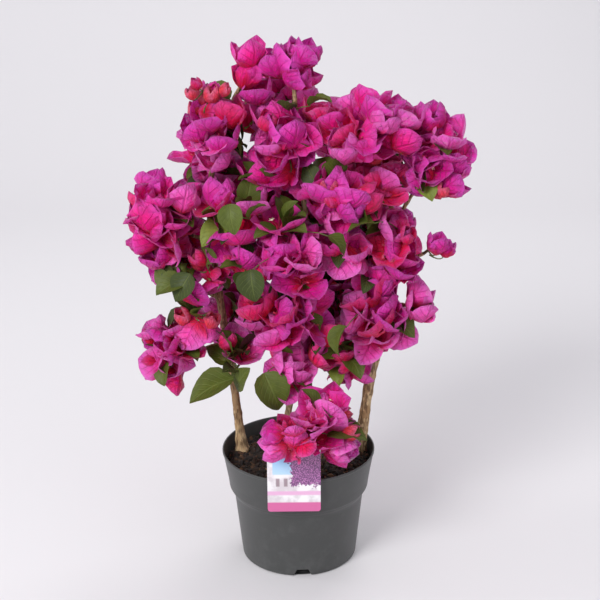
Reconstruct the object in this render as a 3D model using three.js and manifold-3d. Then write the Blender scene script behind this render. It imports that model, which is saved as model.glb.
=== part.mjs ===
// A bougainvillea bush in its round nursery pot, as an assembly of separate solids: the pot, its soil,
// a hanging plant label, three woody stems, the boughs, and masses of blossom and leaves.
// Units are millimetres. +Z is up, +X is the plant's right and -Y is its front.
// The origin is the middle of the pot's flat underside.

import * as THREE from "three";
import { mergeVertices } from "three/addons/utils/BufferGeometryUtils.js";
import Module from "manifold-3d";

const wasm = await Module();
wasm.setup();

// ---------------------------------------------------------------- driving dimensions

const GAP = 0.3; // clearance between pieces that touch

const POT = {
  height: 127.6,
  rimRadius: 85,
  collarFootRadius: 79.5,
  collarFootHeight: 85,
  wallTopRadius: 72.6,
  wallTopHeight: 78,
  footRadius: 64.6,
  footFillet: 4,
  thickness: 1.6,
  lipHeight: 3,
  lipStep: 0.8,
  segments: 24,
};

const NOTCH = { count: 4, turn: 3, foot: 20, head: 12, height: 8, depth: 14 };

const SOIL_TOP = 112;

const LABEL = {
  width: 56,
  foot: 94.5,
  head: 172,
  thickness: 0.8,
  corner: 3,
  centreX: -5,
  backY: -88,
  hookWidth: 14,
  hookInside: -77,
  hookTop: 131,
};

// Stems: the points that each one runs through, the flare at its foot and its radius at foot and fork.
const STEMS = {
  trunk_left: {
    through: [[-64, 22, SOIL_TOP + GAP], [-71, 22, 190], [-79, 22, 253], [-88, 20, 330], [-92, 16, 402]],
    flare: 8.5, foot: 4.9, fork: 3.4, sides: 10,
  },
  stem_middle: {
    through: [[-17, 40, SOIL_TOP + GAP], [-2, 30, 215], [8, 26, 275], [12, 22, 350], [6, 18, 430]],
    flare: 6, foot: 3.9, fork: 2.8, sides: 8,
  },
  stem_right: {
    through: [[69.5, 17, SOIL_TOP + GAP], [80, 19, 196], [88, 20, 235], [99, 18, 310], [104, 14, 372]],
    flare: 7.6, foot: 6.2, fork: 4.2, sides: 10,
  },
};

// Masses: the middle and half-sizes of each one's own space, the stem that carries it and how far up,
// and how many flower heads and leaves it bears.
const MASSES = {
  crest_left: { at: [-48, 5, 553], half: [28, 24, 35], from: "trunk_left", up: 1, heads: 2, leaves: 0 },
  crest_right: { at: [-3, 5, 552], half: [44, 28, 34], from: "stem_middle", up: 1, heads: 4, leaves: 0 },
  upper_left: { at: [-76, 0, 497], half: [50, 39, 56], from: "trunk_left", up: 0.97, heads: 11, leaves: 4 },
  upper_middle: { at: [-16, -4, 488], half: [56, 44, 60], from: "stem_middle", up: 0.94, heads: 11, leaves: 6 },
  upper_right: { at: [62, -10, 490], half: [58, 43, 54], from: "stem_right", up: 1, heads: 12, leaves: 4 },
  far_right: { at: [140, -5, 460], half: [47, 38, 70], from: "stem_right", up: 0.97, heads: 14, leaves: 3 },
  left: { at: [-134, -5, 396], half: [52, 40, 59], from: "trunk_left", up: 0.82, heads: 13, leaves: 4 },
  middle_left: { at: [-66, -15, 396], half: [43, 43, 64], from: "trunk_left", up: 0.9, heads: 9, leaves: 7 },
  middle_right: { at: [46, -25, 424], half: [60, 45, 58], from: "stem_right", up: 0.9, heads: 12, leaves: 6 },
  right: { at: [104, -15, 378], half: [43, 42, 62], from: "stem_right", up: 0.84, heads: 9, leaves: 5 },
  middle: { at: [-5, -30, 380], half: [53, 45, 64], from: "stem_middle", up: 0.78, heads: 11, leaves: 4 },
  lower_middle: { at: [-13, -25, 304], half: [66, 43, 46], from: "stem_middle", up: 0.52, heads: 10, leaves: 6 },
  lower_right: { at: [88, -15, 292], half: [56, 39, 60], from: "stem_right", up: 0.55, heads: 10, leaves: 7 },
  right_tip: { at: [130, -15, 306], half: [32, 24, 34], from: "stem_right", up: 0.62, heads: 2, leaves: 1 },
  lower_left: { at: [-134, -10, 250], half: [52, 39, 60], from: "trunk_left", up: 0.42, heads: 11, leaves: 4 },
  left_leaves: { at: [-126, -12, 320], half: [46, 32, 32], from: "trunk_left", up: 0.62, heads: 2, leaves: 7 },
  low_leaves: { at: [-66, -14, 228], half: [66, 38, 54], from: "trunk_left", up: 0.34, heads: 3, leaves: 18 },
  lower_front: { at: [-16, -24, 232], half: [48, 38, 50], from: "stem_middle", up: 0.36, heads: 5, leaves: 9 },
  low_shoot: { at: [52, -8, 242], half: [48, 36, 52], from: "stem_right", up: 0.3, heads: 4, leaves: 10 },
  sprig: { at: [144, -14, 367], half: [30, 18, 28], from: "stem_right", up: 0.75, heads: 1, leaves: 0, scale: 0.75 },
  bottom_front: { at: [18, -76, 182], half: [62, 41, 56], from: "stem_middle", up: 0.22, heads: 12, leaves: 3 },
  back_top: { at: [-22, 62, 500], half: [54, 39, 50], from: "stem_middle", up: 0.97, heads: 8, leaves: 6 },
  back_upper_left: { at: [-88, 60, 440], half: [50, 40, 58], from: "trunk_left", up: 0.93, heads: 7, leaves: 7 },
  back_upper_right: { at: [78, 62, 460], half: [58, 41, 58], from: "stem_right", up: 0.93, heads: 8, leaves: 7 },
  back_right: { at: [94, 54, 372], half: [42, 40, 60], from: "stem_right", up: 0.8, heads: 6, leaves: 7 },
  back_left: { at: [-126, 52, 346], half: [46, 40, 60], from: "trunk_left", up: 0.7, heads: 7, leaves: 6 },
  back_middle: { at: [-4, 66, 386], half: [60, 42, 64], from: "stem_middle", up: 0.7, heads: 8, leaves: 8 },
  back_lower_left: { at: [-66, 62, 276], half: [52, 40, 50], from: "trunk_left", up: 0.5, heads: 6, leaves: 7 },
  back_lower_right: { at: [46, 62, 290], half: [58, 40, 50], from: "stem_middle", up: 0.48, heads: 6, leaves: 7 },
};

const STEM_STEPS = 15;
const BOUGH = { foot: 2.9, tip: 1.9, sides: 5, steps: 4, enter: 0.72 };
const TWIG = { stem: 1.7, stemTip: 1.2, foot: 1.1, tip: 0.9, shortest: 14, forward: 0.25 };

// A flower head is three bracts round one root: it bellies out, then opens at three tips.
const HEAD = { length: 40, bellyHeight: 0.6, belly: 19, valleyHeight: 0.76, valley: 14.1, heart: 0.4, spread: 15.2 };

// A head as three balls along its axis, for its clearances: height as a share of its length, and radius.
const HEAD_BALLS = [[0.15, 4], [0.42, 12.2], [0.74, 19]];
const PACKING = 0.75;

// A leaf is a thin kite on its own stalk. Room is the clearance round its midrib, as a share of its width.
const LEAF = { shortest: 30, longest: 60, width: 34, widestAt: 0.56, fold: 3, thickness: 1.4, room: 0.22 };

// Sprays are tried in turn, each a little deeper in the space, down to this share of its reach.
// The first few tries are for the head that ends the stem.
const ATTEMPTS = 1500;
const SHRINK = 0.6;
const ENDINGS = 8;

// The first part of a mass's stem bears no sprays.
const BARE_SHARE = 0.3;

const UP = new THREE.Vector3(0, 0, 1);

const COLOURS = {
  pot: [0x4c5052, 0.42],
  soil: [0x2c2018, 0.95],
  label: [0xe9dff0, 0.35],
  bark: [0x8a6a48, 0.8],
  blossom: [0xb3248c, 0.6],
};

// ---------------------------------------------------------------- meshes and solids

const plant = new THREE.Group();

function material(kind) {
  const [color, roughness] = COLOURS[kind];
  return new THREE.MeshStandardMaterial({ color, roughness, metalness: 0 });
}

function addNode(name, geometry, kind) {
  const mesh = new THREE.Mesh(geometry, material(kind));
  mesh.name = name;
  plant.add(mesh);
}

// A closed mesh of shared points, as a solid that can be joined and cut.
function toSolid(geometry) {
  const bare = geometry.clone();
  bare.deleteAttribute("normal");
  bare.deleteAttribute("uv");
  const merged = mergeVertices(bare, 1e-4);
  return new wasm.Manifold(new wasm.Mesh({
    numProp: 3,
    vertProperties: new Float32Array(merged.attributes.position.array),
    triVerts: new Uint32Array(merged.index.array),
  }));
}

function toGeometry(solid) {
  const { vertProperties, triVerts } = solid.getMesh();
  const geometry = new THREE.BufferGeometry();
  geometry.setAttribute("position", new THREE.BufferAttribute(new Float32Array(vertProperties), 3));
  geometry.setIndex(new THREE.BufferAttribute(new Uint32Array(triVerts), 1));
  geometry.computeVertexNormals();
  return geometry;
}

// The largest piece of a solid: loose scraps and sealed hollows are dropped.
function largestPiece(solid) {
  const pieces = solid.decompose();
  return pieces.reduce((best, piece) => (piece.volume() > best.volume() ? piece : best));
}

function meshFrom(points, faces) {
  const geometry = new THREE.BufferGeometry().setFromPoints(points);
  geometry.setIndex(faces.flat());
  return geometry;
}

// ---------------------------------------------------------------- limbs

// A closed tube with flat ends: rings of `sides` corners along a curve, each of radiusAt(t).
// Its far end can run on a little past the curve.
function limbGeometry(curve, radiusAt, sides, steps, overrun = 0) {
  const frames = curve.computeFrenetFrames(steps, false);
  const points = [];
  for (let i = 0; i <= steps; i += 1) {
    const centre = curve.getPointAt(i / steps);
    if (i === steps) centre.addScaledVector(frames.tangents[i], overrun);
    const radius = radiusAt(i / steps);
    for (let k = 0; k < sides; k += 1) {
      const turn = (2 * Math.PI * k) / sides;
      points.push(centre.clone()
        .addScaledVector(frames.normals[i], radius * Math.cos(turn))
        .addScaledVector(frames.binormals[i], radius * Math.sin(turn)));
    }
  }
  const faces = [];
  for (let i = 0; i < steps; i += 1) {
    for (let k = 0; k < sides; k += 1) {
      const [a, b] = [i * sides + k, i * sides + ((k + 1) % sides)];
      faces.push([a, b, b + sides], [a, b + sides, a + sides]);
    }
  }
  const last = steps * sides;
  for (let k = 1; k < sides - 1; k += 1) {
    faces.push([0, k + 1, k], [last, last + k, last + k + 1]);
  }
  return meshFrom(points, faces);
}

// Limbs that foliage keeps clear of, as rows of balls along each one.
const obstacles = [];

function rememberLimb(curve, radiusAt) {
  const count = Math.ceil(curve.getLength() / 3);
  for (let i = 0; i <= count; i += 1) {
    obstacles.push({ at: curve.getPointAt(i / count), radius: radiusAt(i / count) });
  }
}

const flareAt = (stem) => (t) => (
  THREE.MathUtils.lerp(stem.foot, stem.fork, t) + (stem.flare - stem.foot) * Math.exp(-t * 22)
);

function buildStems() {
  const limbs = {};
  for (const [name, stem] of Object.entries(STEMS)) {
    const curve = new THREE.CatmullRomCurve3(stem.through.map((p) => new THREE.Vector3(...p)));
    const radiusAt = flareAt(stem);
    const geometry = limbGeometry(curve, radiusAt, stem.sides, STEM_STEPS);
    flattenFoot(geometry, stem.sides);
    addNode(name, geometry, "bark");
    rememberLimb(curve, radiusAt);
    const around = toSolid(limbGeometry(curve, (t) => radiusAt(t) + GAP, stem.sides, STEM_STEPS, GAP));
    limbs[name] = { curve, radiusAt, around };
  }
  return limbs;
}

// The first ring of a stem is a level cut that rests on the soil.
function flattenFoot(geometry, sides) {
  const position = geometry.attributes.position;
  for (let k = 0; k < sides; k += 1) {
    position.setZ(k, SOIL_TOP + GAP);
  }
}

// ---------------------------------------------------------------- each mass's own space

const centreOf = (mass) => new THREE.Vector3(...mass.at);

// How far a mass reaches from its middle along a unit direction.
function reach(mass, direction) {
  const [x, y, z] = mass.half;
  return 1 / Math.hypot(direction.x / x, direction.y / y, direction.z / z);
}

// Flat walls between neighbours, set between their middles in proportion to their reach.
function wallsOf(mass) {
  const centre = centreOf(mass);
  const walls = [];
  for (const other of Object.values(MASSES)) {
    if (other === mass) continue;
    const across = centreOf(other).sub(centre);
    const distance = across.length();
    const normal = across.divideScalar(distance);
    const [mine, theirs] = [reach(mass, normal), reach(other, normal)];
    if (mine + theirs > distance) {
      walls.push({ normal, limit: (distance * mine) / (mine + theirs) - GAP });
    }
  }
  return walls;
}

function insideSpace(mass, walls, point) {
  const local = point.clone().sub(centreOf(mass));
  const [x, y, z] = mass.half;
  if (Math.hypot(local.x / x, local.y / y, local.z / z) > 1) return false;
  return walls.every((wall) => local.dot(wall.normal) < wall.limit);
}

// True when all the points are on one free side of the label: before it, behind, over or beside it.
function clearOfLabel(points) {
  const margin = 1.5;
  const sideways = LABEL.width / 2 + margin;
  return points.every((p) => p.y < LABEL.backY - LABEL.thickness - margin)
    || points.every((p) => p.y > LABEL.backY + margin && p.z > LABEL.hookTop + margin)
    || points.every((p) => p.z > LABEL.head + margin)
    || points.every((p) => Math.abs(p.x - LABEL.centreX) > sideways);
}

// True when the points are above the pot's rim or clear outside it, and above the soil.
function clearOfPot(points) {
  return points.every((p) => p.z > POT.height + 2)
    || points.every((p) => p.y < -POT.rimRadius - 8 && p.z > POT.wallTopHeight);
}

// ---------------------------------------------------------------- heads, leaves and twigs

function perpendicular(axis, turn) {
  const start = Math.abs(axis.z) < 0.9 ? UP : new THREE.Vector3(1, 0, 0);
  return new THREE.Vector3().crossVectors(axis, start).normalize().applyAxisAngle(axis, turn);
}

const pointAt = (root, axis, rise, side, offset) => (
  root.clone().addScaledVector(axis, rise).addScaledVector(side, offset)
);

// A flower head: its heart, three bellies, three valleys between them and three tips, above its foot.
// A seated head comes to a point in the stem. Any other foot is a ring of three, drawn out into a twig.
function headMesh({ start, root, axis, turn, scale, seated }) {
  const length = HEAD.length * scale;
  const outs = [0, 1, 2].map((k) => perpendicular(axis, turn + (k * 2 * Math.PI) / 3));
  const crown = [pointAt(root, axis, HEAD.heart * length, axis, 0)];
  outs.forEach((out, k) => {
    const between = perpendicular(axis, turn + ((k + 0.5) * 2 * Math.PI) / 3);
    crown.push(
      pointAt(root, axis, HEAD.bellyHeight * length, out, HEAD.belly * scale),
      pointAt(root, axis, HEAD.valleyHeight * length, between, HEAD.valley * scale),
      pointAt(root, axis, length, out, HEAD.spread * scale),
    );
  });
  const first = crown.length;
  const foot = seated ? [start] : [
    ...outs.map((out) => pointAt(root, axis, 0, out, TWIG.tip)),
    ...ringSquareTo(root.clone().sub(start), outs).map((out) => pointAt(start, axis, 0, out, TWIG.foot)),
  ];
  const faces = [];
  for (let k = 0; k < 3; k += 1) {
    const [belly, after, tip] = [1 + 3 * k, 2 + 3 * k, 3 + 3 * k];
    const before = 2 + 3 * ((k + 2) % 3);
    const own = seated ? first : first + k;
    faces.push([own, after, belly], [own, belly, before]);
    faces.push([belly, after, tip], [belly, tip, before]);
    faces.push([tip, after, 0], [tip, 0, before]);
    if (!seated) {
      const next = first + ((k + 1) % 3);
      faces.push([own, next, after], [next, own, own + 3], [next, own + 3, next + 3]);
    }
  }
  if (!seated) faces.push([first + 5, first + 4, first + 3]);
  return { points: [...crown, ...foot], faces, crown };
}

// Directions made square to a line, without turning them about it.
function ringSquareTo(line, directions) {
  const along = line.clone().normalize();
  return directions.map((direction) => direction.clone().addScaledVector(along, -direction.dot(along)).normalize());
}

// Eight faces: root, tip, two edge points and a pair of points through the midrib.
function leafMesh({ root, axis, turn, length, width }) {
  const side = perpendicular(axis, turn);
  const face = new THREE.Vector3().crossVectors(axis, side);
  const middle = LEAF.widestAt * length;
  const points = [
    root,
    pointAt(root, axis, middle, side, width / 2),
    pointAt(root, axis, length, axis, 0),
    pointAt(root, axis, middle, side, -width / 2),
    pointAt(root, axis, middle * 0.95, face, -LEAF.fold + LEAF.thickness / 2),
    pointAt(root, axis, middle * 0.95, face, -LEAF.fold - LEAF.thickness / 2),
  ];
  const faces = [
    [0, 1, 4], [1, 2, 4], [2, 3, 4], [3, 0, 4],
    [1, 0, 5], [2, 1, 5], [3, 2, 5], [0, 3, 5],
  ];
  return { points, faces };
}

// A closed solid whichever way round its faces were listed.
function outwardSolid({ points, faces }) {
  const solid = toSolid(meshFrom(points, faces));
  return solid.volume() > 0 ? solid : toSolid(meshFrom(points, faces.map((f) => [...f].reverse())));
}

// A straight three-sided twig between two points.
function twigGeometry(start, end, startRadius, endRadius) {
  const curve = new THREE.LineCurve3(start, end);
  return limbGeometry(curve, (t) => THREE.MathUtils.lerp(startRadius, endRadius, t), 3, 1);
}

// Balls along a straight line, a few millimetres apart.
function ballsAlong(start, end, radius) {
  const count = Math.ceil(start.distanceTo(end) / 4);
  return Array.from({ length: count + 1 }, (_, k) => ({ at: start.clone().lerp(end, k / count), radius }));
}

const apart = (balls, others, packing) => balls.every((ball) => (
  others.every((other) => ball.at.distanceTo(other.at) > packing * (ball.radius + other.radius))
));

// Repeatable random numbers from 0 to 1.
function seededRandom(seed) {
  let state = seed >>> 0;
  return () => {
    state = (Math.imul(state, 1664525) + 1013904223) >>> 0;
    return state / 4294967296;
  };
}

// ---------------------------------------------------------------- sprays

// Directions that spread evenly round a ball however many are taken, from two irrational steps.
function spreadDirection(index) {
  const height = 1 - 2 * ((0.3 + index * 0.7548776662) % 1);
  const turn = 2 * Math.PI * ((0.6 + index * 0.5698402910) % 1);
  const flat = Math.sqrt(1 - height * height);
  return new THREE.Vector3(flat * Math.cos(turn), flat * Math.sin(turn), height);
}

const edgePoint = (mass, direction, share) => (
  centreOf(mass).addScaledVector(direction, share * reach(mass, direction))
);

// High sprays rise and low ones hang.
const lowestLift = (mass) => THREE.MathUtils.clamp((mass.at[2] - 330) / 400, -0.35, 0.2);

// Large heads are tried first, and smaller ones fill what is left.
const headScale = (attempt, chance) => 0.62 + 0.36 * (1 - attempt / ATTEMPTS) + 0.14 * chance;

const nearestOn = (line, point) => line.closestPointToPoint(point, true, new THREE.Vector3());

// A flower head: its tips reach for the edge of the space, and its twig leaves the nearest part of the stem.
function placeHead(mass, space, attempt, random) {
  const ending = attempt < ENDINGS;
  const direction = ending ? space.stem.delta(new THREE.Vector3()).normalize() : spreadDirection(attempt);
  const share = 1 - (ending ? 0.5 * attempt / ENDINGS : SHRINK * attempt / ATTEMPTS);
  const lift = lowestLift(mass) + 0.45 * random();
  const turn = 2 * Math.PI * random();
  const scale = (mass.scale ?? 1) * headScale(attempt, random());
  const axis = direction.clone().addScaledVector(UP, lift).normalize();
  const root = edgePoint(mass, direction, share).addScaledVector(axis, -HEAD.length * scale);
  const start = nearestOn(space.stem, root);
  const run = root.clone().sub(start);
  const seated = run.length() < TWIG.shortest;
  if (!seated && run.dot(axis) < TWIG.forward * run.length()) return null;
  const mesh = headMesh({ start, root, axis, turn, scale, seated });
  const body = HEAD_BALLS.map(([height, radius]) => (
    { at: pointAt(root, axis, height * HEAD.length * scale, axis, 0), radius: radius * scale }
  ));
  if (!fits(mass, space, mesh.crown, body, ballsAlong(start, root, TWIG.foot))) return null;
  space.taken.push(...body);
  return [outwardSolid(mesh)];
}

// A leaf: its stalk starts inside the stem and its tip reaches for the edge of the space.
function placeLeaf(mass, space, attempt, random) {
  const direction = spreadDirection(attempt + 7);
  const share = 1 - SHRINK * attempt / ATTEMPTS;
  const droop = 0.2 + 0.5 * random();
  const turn = 0.7 * (random() - 0.5);
  const width = LEAF.width * (0.85 + 0.3 * random());
  const tip = edgePoint(mass, direction, share);
  const root = nearestOn(space.stem, tip.clone().addScaledVector(UP, droop * reach(mass, direction)));
  const length = root.distanceTo(tip);
  if (length < LEAF.shortest || length > LEAF.longest) return null;
  const axis = tip.clone().sub(root).divideScalar(length);
  const mesh = leafMesh({ root, axis, turn, length, width });
  const body = ballsAlong(root.clone().lerp(tip, 0.35), root.clone().lerp(tip, 0.85), width * LEAF.room);
  if (!fits(mass, space, mesh.points, body, ballsAlong(root, tip, 1))) return null;
  space.taken.push(...body);
  return [outwardSolid(mesh)];
}

// Sprays are tried one after another until the mass bears its number of them.
function growSprays(count, attemptSpray) {
  const parts = [];
  let grown = 0;
  for (let attempt = 0; attempt < ATTEMPTS && grown < count; attempt += 1) {
    const spray = attemptSpray(attempt);
    if (spray) {
      parts.push(...spray);
      grown += 1;
    }
  }
  return parts;
}

// A spray stays in its space, clear of the limbs, label and pot, and doesn't crowd its neighbours.
function fits(mass, space, points, body, twig) {
  return points.every((point) => insideSpace(mass, space.walls, point))
    && apart(body, obstacles, 1)
    && apart(twig.slice(1), obstacles, 1)
    && apart(body, space.taken, PACKING)
    && clearOfLabel([...points, twig[0].at])
    && clearOfPot([...points, twig[0].at]);
}

// ---------------------------------------------------------------- boughs and masses

// A bough leaves its limb, rises a little along it and ends where it enters its mass.
function boughCurve(limb, mass) {
  const foot = limb.curve.getPointAt(mass.up);
  const tangent = limb.curve.getTangentAt(mass.up);
  const centre = centreOf(mass);
  const toward = centre.clone().sub(foot);
  const distance = toward.length();
  const direction = toward.clone().divideScalar(distance);
  const length = distance - BOUGH.enter * reach(mass, direction);
  if (length < 18) return null;
  const end = foot.clone().addScaledVector(direction, length);
  const bend = foot.clone().addScaledVector(tangent, length * 0.38).addScaledVector(direction, length * 0.2);
  return new THREE.QuadraticBezierCurve3(foot, bend, end);
}

// The stem of a mass starts inside its bough's tip or inside the limb, and is cut clear of both.
function massStem(mass, limb, bough) {
  const centre = centreOf(mass);
  const start = bough ? bough.getPointAt(1) : limb.curve.getPointAt(mass.up);
  const end = centre.clone().addScaledVector(centre.clone().sub(start), 0.2);
  return new THREE.Line3(start, end);
}

// Each bough forks from its limb, or from an earlier bough of the same limb, with a gap at the fork.
function buildBoughs(limbs) {
  const boughs = {};
  for (const [name, mass] of Object.entries(MASSES)) {
    const limb = limbs[mass.from];
    const curve = boughCurve(limb, mass);
    if (!curve) continue;
    const foot = Math.min(BOUGH.foot, limb.radiusAt(mass.up) - 0.3);
    const radiusAt = (t) => THREE.MathUtils.lerp(foot, BOUGH.tip, t);
    const solid = toSolid(limbGeometry(curve, radiusAt, BOUGH.sides, BOUGH.steps));
    addNode(`bough_${name}`, toGeometry(largestPiece(solid.subtract(limb.around))), "bark");
    const clearance = limbGeometry(curve, (t) => radiusAt(t) + GAP, BOUGH.sides, BOUGH.steps, GAP);
    limb.around = limb.around.add(toSolid(clearance));
    rememberLimb(curve, radiusAt);
    boughs[name] = curve;
  }
  return boughs;
}

function buildMasses(limbs, boughs) {
  Object.entries(MASSES).forEach(([name, mass], index) => {
    const random = seededRandom(1000 + 77 * index);
    const limb = limbs[mass.from];
    const stem = massStem(mass, limb, boughs[name]);
    const leafy = new THREE.Line3(stem.at(BARE_SHARE, new THREE.Vector3()), stem.end);
    const space = { walls: wallsOf(mass), stem: leafy, taken: [] };
    const parts = [toSolid(twigGeometry(stem.start, stem.end, TWIG.stem, TWIG.stemTip))];
    parts.push(...growSprays(mass.heads, (attempt) => placeHead(mass, space, attempt, random)));
    parts.push(...growSprays(mass.leaves, (attempt) => placeLeaf(mass, space, attempt, random)));
    const solid = wasm.Manifold.union(parts).subtract(limb.around);
    addNode(`foliage_${name}`, toGeometry(largestPiece(solid)), "blossom");
  });
}

// ---------------------------------------------------------------- pot, soil and label

// Outer outline of the pot from its underside to its rim, as [radius, height] points.
function potOutline() {
  const fillet = [];
  for (let k = 0; k <= 2; k += 1) {
    const turn = (k * Math.PI) / 4;
    fillet.push([
      POT.footRadius - POT.footFillet * (1 - Math.sin(turn)),
      POT.footFillet * (1 - Math.cos(turn)),
    ]);
  }
  return [
    ...fillet,
    [POT.wallTopRadius, POT.wallTopHeight],
    [POT.collarFootRadius - 2.2, POT.collarFootHeight - 3],
    [POT.collarFootRadius, POT.collarFootHeight],
    [POT.rimRadius - POT.lipStep, POT.height - POT.lipHeight],
    [POT.rimRadius, POT.height - POT.lipHeight + POT.lipStep],
    [POT.rimRadius, POT.height],
  ];
}

// Radius of the pot's inside at a height.
function innerRadius(height) {
  const outline = potOutline();
  const k = outline.findIndex(([, z]) => z >= height);
  const [[r0, z0], [r1, z1]] = [outline[k - 1], outline[k]];
  return r0 + ((r1 - r0) * (height - z0)) / (z1 - z0) - POT.thickness;
}

function lathe(profile) {
  return new THREE.LatheGeometry(profile.map(([r, z]) => new THREE.Vector2(r, z)), POT.segments)
    .rotateX(Math.PI / 2);
}

// A trapezoid prism across the foot of the wall, grown by `extra` on its sides, head and inner end.
function notchSolid(turnDegrees, extra) {
  const outline = new THREE.Shape([
    new THREE.Vector2(-NOTCH.foot / 2 - extra * 1.5, -1),
    new THREE.Vector2(NOTCH.foot / 2 + extra * 1.5, -1),
    new THREE.Vector2(NOTCH.head / 2 + extra, NOTCH.height + extra),
    new THREE.Vector2(-NOTCH.head / 2 - extra, NOTCH.height + extra),
  ]);
  const geometry = new THREE.ExtrudeGeometry(outline, { depth: NOTCH.depth + 10, bevelEnabled: false });
  geometry.rotateX(Math.PI / 2);
  geometry.translate(0, -(POT.footRadius - NOTCH.depth - extra), 0);
  geometry.rotateZ(THREE.MathUtils.degToRad(turnDegrees));
  return toSolid(geometry);
}

function notches(extra) {
  const turns = Array.from({ length: NOTCH.count }, (_, k) => NOTCH.turn + (k * 360) / NOTCH.count);
  return wasm.Manifold.union(turns.map((turn) => notchSolid(turn, extra)));
}

function buildPot() {
  const outer = potOutline();
  const floor = POT.thickness + 1;
  const inside = outer.slice(3).reverse().map(([r, z]) => [r - POT.thickness, z]);
  inside[0] = [POT.rimRadius - POT.thickness, POT.height];
  const shell = toSolid(lathe([
    [0, 0], ...outer, ...inside, [innerRadius(floor + 3), floor + 3], [innerRadius(floor + 3) - 3, floor], [0, floor],
  ]));
  const body = toSolid(lathe([[0, 0], ...outer, [0, POT.height]]));
  const housings = notches(POT.thickness).intersect(body);
  addNode("pot", toGeometry(largestPiece(shell.add(housings).subtract(notches(0)))), "pot");
  buildSoil(floor);
}

function buildSoil(floor) {
  const heights = [floor + 3, POT.wallTopHeight, POT.collarFootHeight - 3, POT.collarFootHeight, SOIL_TOP];
  const wall = heights.map((z) => [innerRadius(z) - GAP * 1.5, z]);
  const filling = lathe([
    [0, floor + GAP], [innerRadius(floor + 3) - 3 - GAP, floor + GAP], ...wall, [0, SOIL_TOP],
  ]);
  const clear = notches(POT.thickness + GAP);
  addNode("potting_soil", toGeometry(largestPiece(toSolid(filling).subtract(clear))), "soil");
}

// The label is a card in front of the rim, with a hook over the rim and down inside the pot.
function buildLabel() {
  const { width, foot, head, corner } = LABEL;
  const card = new THREE.Shape();
  card.moveTo(-width / 2 + corner, foot);
  card.lineTo(width / 2 - corner, foot);
  card.absarc(width / 2 - corner, foot + corner, corner, -Math.PI / 2, 0);
  card.absarc(width / 2 - corner, head - corner, corner, 0, Math.PI / 2);
  card.absarc(-width / 2 + corner, head - corner, corner, Math.PI / 2, Math.PI);
  card.absarc(-width / 2 + corner, foot + corner, corner, Math.PI, Math.PI * 1.5);
  const plate = new THREE.ExtrudeGeometry(card, { depth: LABEL.thickness, bevelEnabled: false, curveSegments: 4 });
  plate.rotateX(Math.PI / 2).translate(LABEL.centreX, LABEL.backY, 0);
  const over = boxBetween([-LABEL.hookWidth / 2, LABEL.backY - 0.3, LABEL.hookTop - 1],
    [LABEL.hookWidth / 2, LABEL.hookInside, LABEL.hookTop]);
  const down = boxBetween([-LABEL.hookWidth / 2, LABEL.hookInside - 1, SOIL_TOP + GAP],
    [LABEL.hookWidth / 2, LABEL.hookInside, LABEL.hookTop]);
  addNode("plant_label", toGeometry(wasm.Manifold.union([toSolid(plate), over, down])), "label");
}

function boxBetween(low, high) {
  const size = high.map((value, k) => value - low[k]);
  const geometry = new THREE.BoxGeometry(...size);
  geometry.translate(LABEL.centreX + (low[0] + high[0]) / 2, (low[1] + high[1]) / 2, (low[2] + high[2]) / 2);
  return toSolid(geometry);
}

// ---------------------------------------------------------------- assembly

buildPot();
buildLabel();
const limbs = buildStems();
const boughs = buildBoughs(limbs);
buildMasses(limbs, boughs);

export default plant;
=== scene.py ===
"""A potted bougainvillea bush: stems, boughs, twigs, leaves and papery flower heads grown by one rule.

The rule and its tables are in millimetres, as a gardener would measure the plant.
Meshes are made in metres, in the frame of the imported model.
"""
import math

import bpy
import numpy as np
from bpy.props import FloatProperty, FloatVectorProperty, IntProperty, PointerProperty
from mathutils import Matrix, Vector


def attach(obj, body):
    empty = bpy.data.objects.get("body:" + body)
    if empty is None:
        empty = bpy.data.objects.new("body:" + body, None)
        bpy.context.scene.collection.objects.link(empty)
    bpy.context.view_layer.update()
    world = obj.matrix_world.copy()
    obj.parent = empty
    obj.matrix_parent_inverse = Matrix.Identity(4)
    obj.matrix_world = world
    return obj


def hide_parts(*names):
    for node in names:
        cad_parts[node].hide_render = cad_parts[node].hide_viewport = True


bl_info = {
    "name": "Bougainvillea bush",
    "version": (1, 0, 0),
    "blender": (4, 5, 0),
    "location": "View3D > Sidebar > Bougainvillea",
    "description": "Grows a flowering bougainvillea in its pot round the packed model",
    "category": "Object",
}

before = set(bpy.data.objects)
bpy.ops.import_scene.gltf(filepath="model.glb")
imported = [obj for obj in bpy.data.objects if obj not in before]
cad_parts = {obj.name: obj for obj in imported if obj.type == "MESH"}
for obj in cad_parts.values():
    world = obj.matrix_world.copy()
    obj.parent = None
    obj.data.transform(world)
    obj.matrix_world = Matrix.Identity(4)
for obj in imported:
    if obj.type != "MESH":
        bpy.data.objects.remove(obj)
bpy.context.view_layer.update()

MM = 0.001
TAU = 2 * math.pi
UP = np.array([0.0, 0.0, 1.0])

# ---------------------------------------------------------------- the plant's tables, in millimetres

# The height of the soil's surface.
SOIL_TOP = 112.0

# A stem runs through its points, from its flared foot on the soil to its fork.
STEMS = {
    "trunk_left": {
        "through": [(-64, 22, 112.3), (-71, 22, 190), (-79, 22, 253), (-88, 20, 330), (-92, 16, 402)],
        "flare": 8.5, "foot": 4.9, "fork": 3.4,
    },
    "stem_middle": {
        "through": [(-17, 40, 112.3), (-2, 30, 215), (8, 26, 275), (12, 22, 350), (6, 18, 430)],
        "flare": 6.0, "foot": 3.9, "fork": 2.8,
    },
    "stem_right": {
        "through": [(69.5, 17, 112.3), (80, 19, 196), (88, 20, 235), (99, 18, 310), (104, 14, 372)],
        "flare": 7.6, "foot": 6.2, "fork": 4.2,
    },
}

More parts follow.
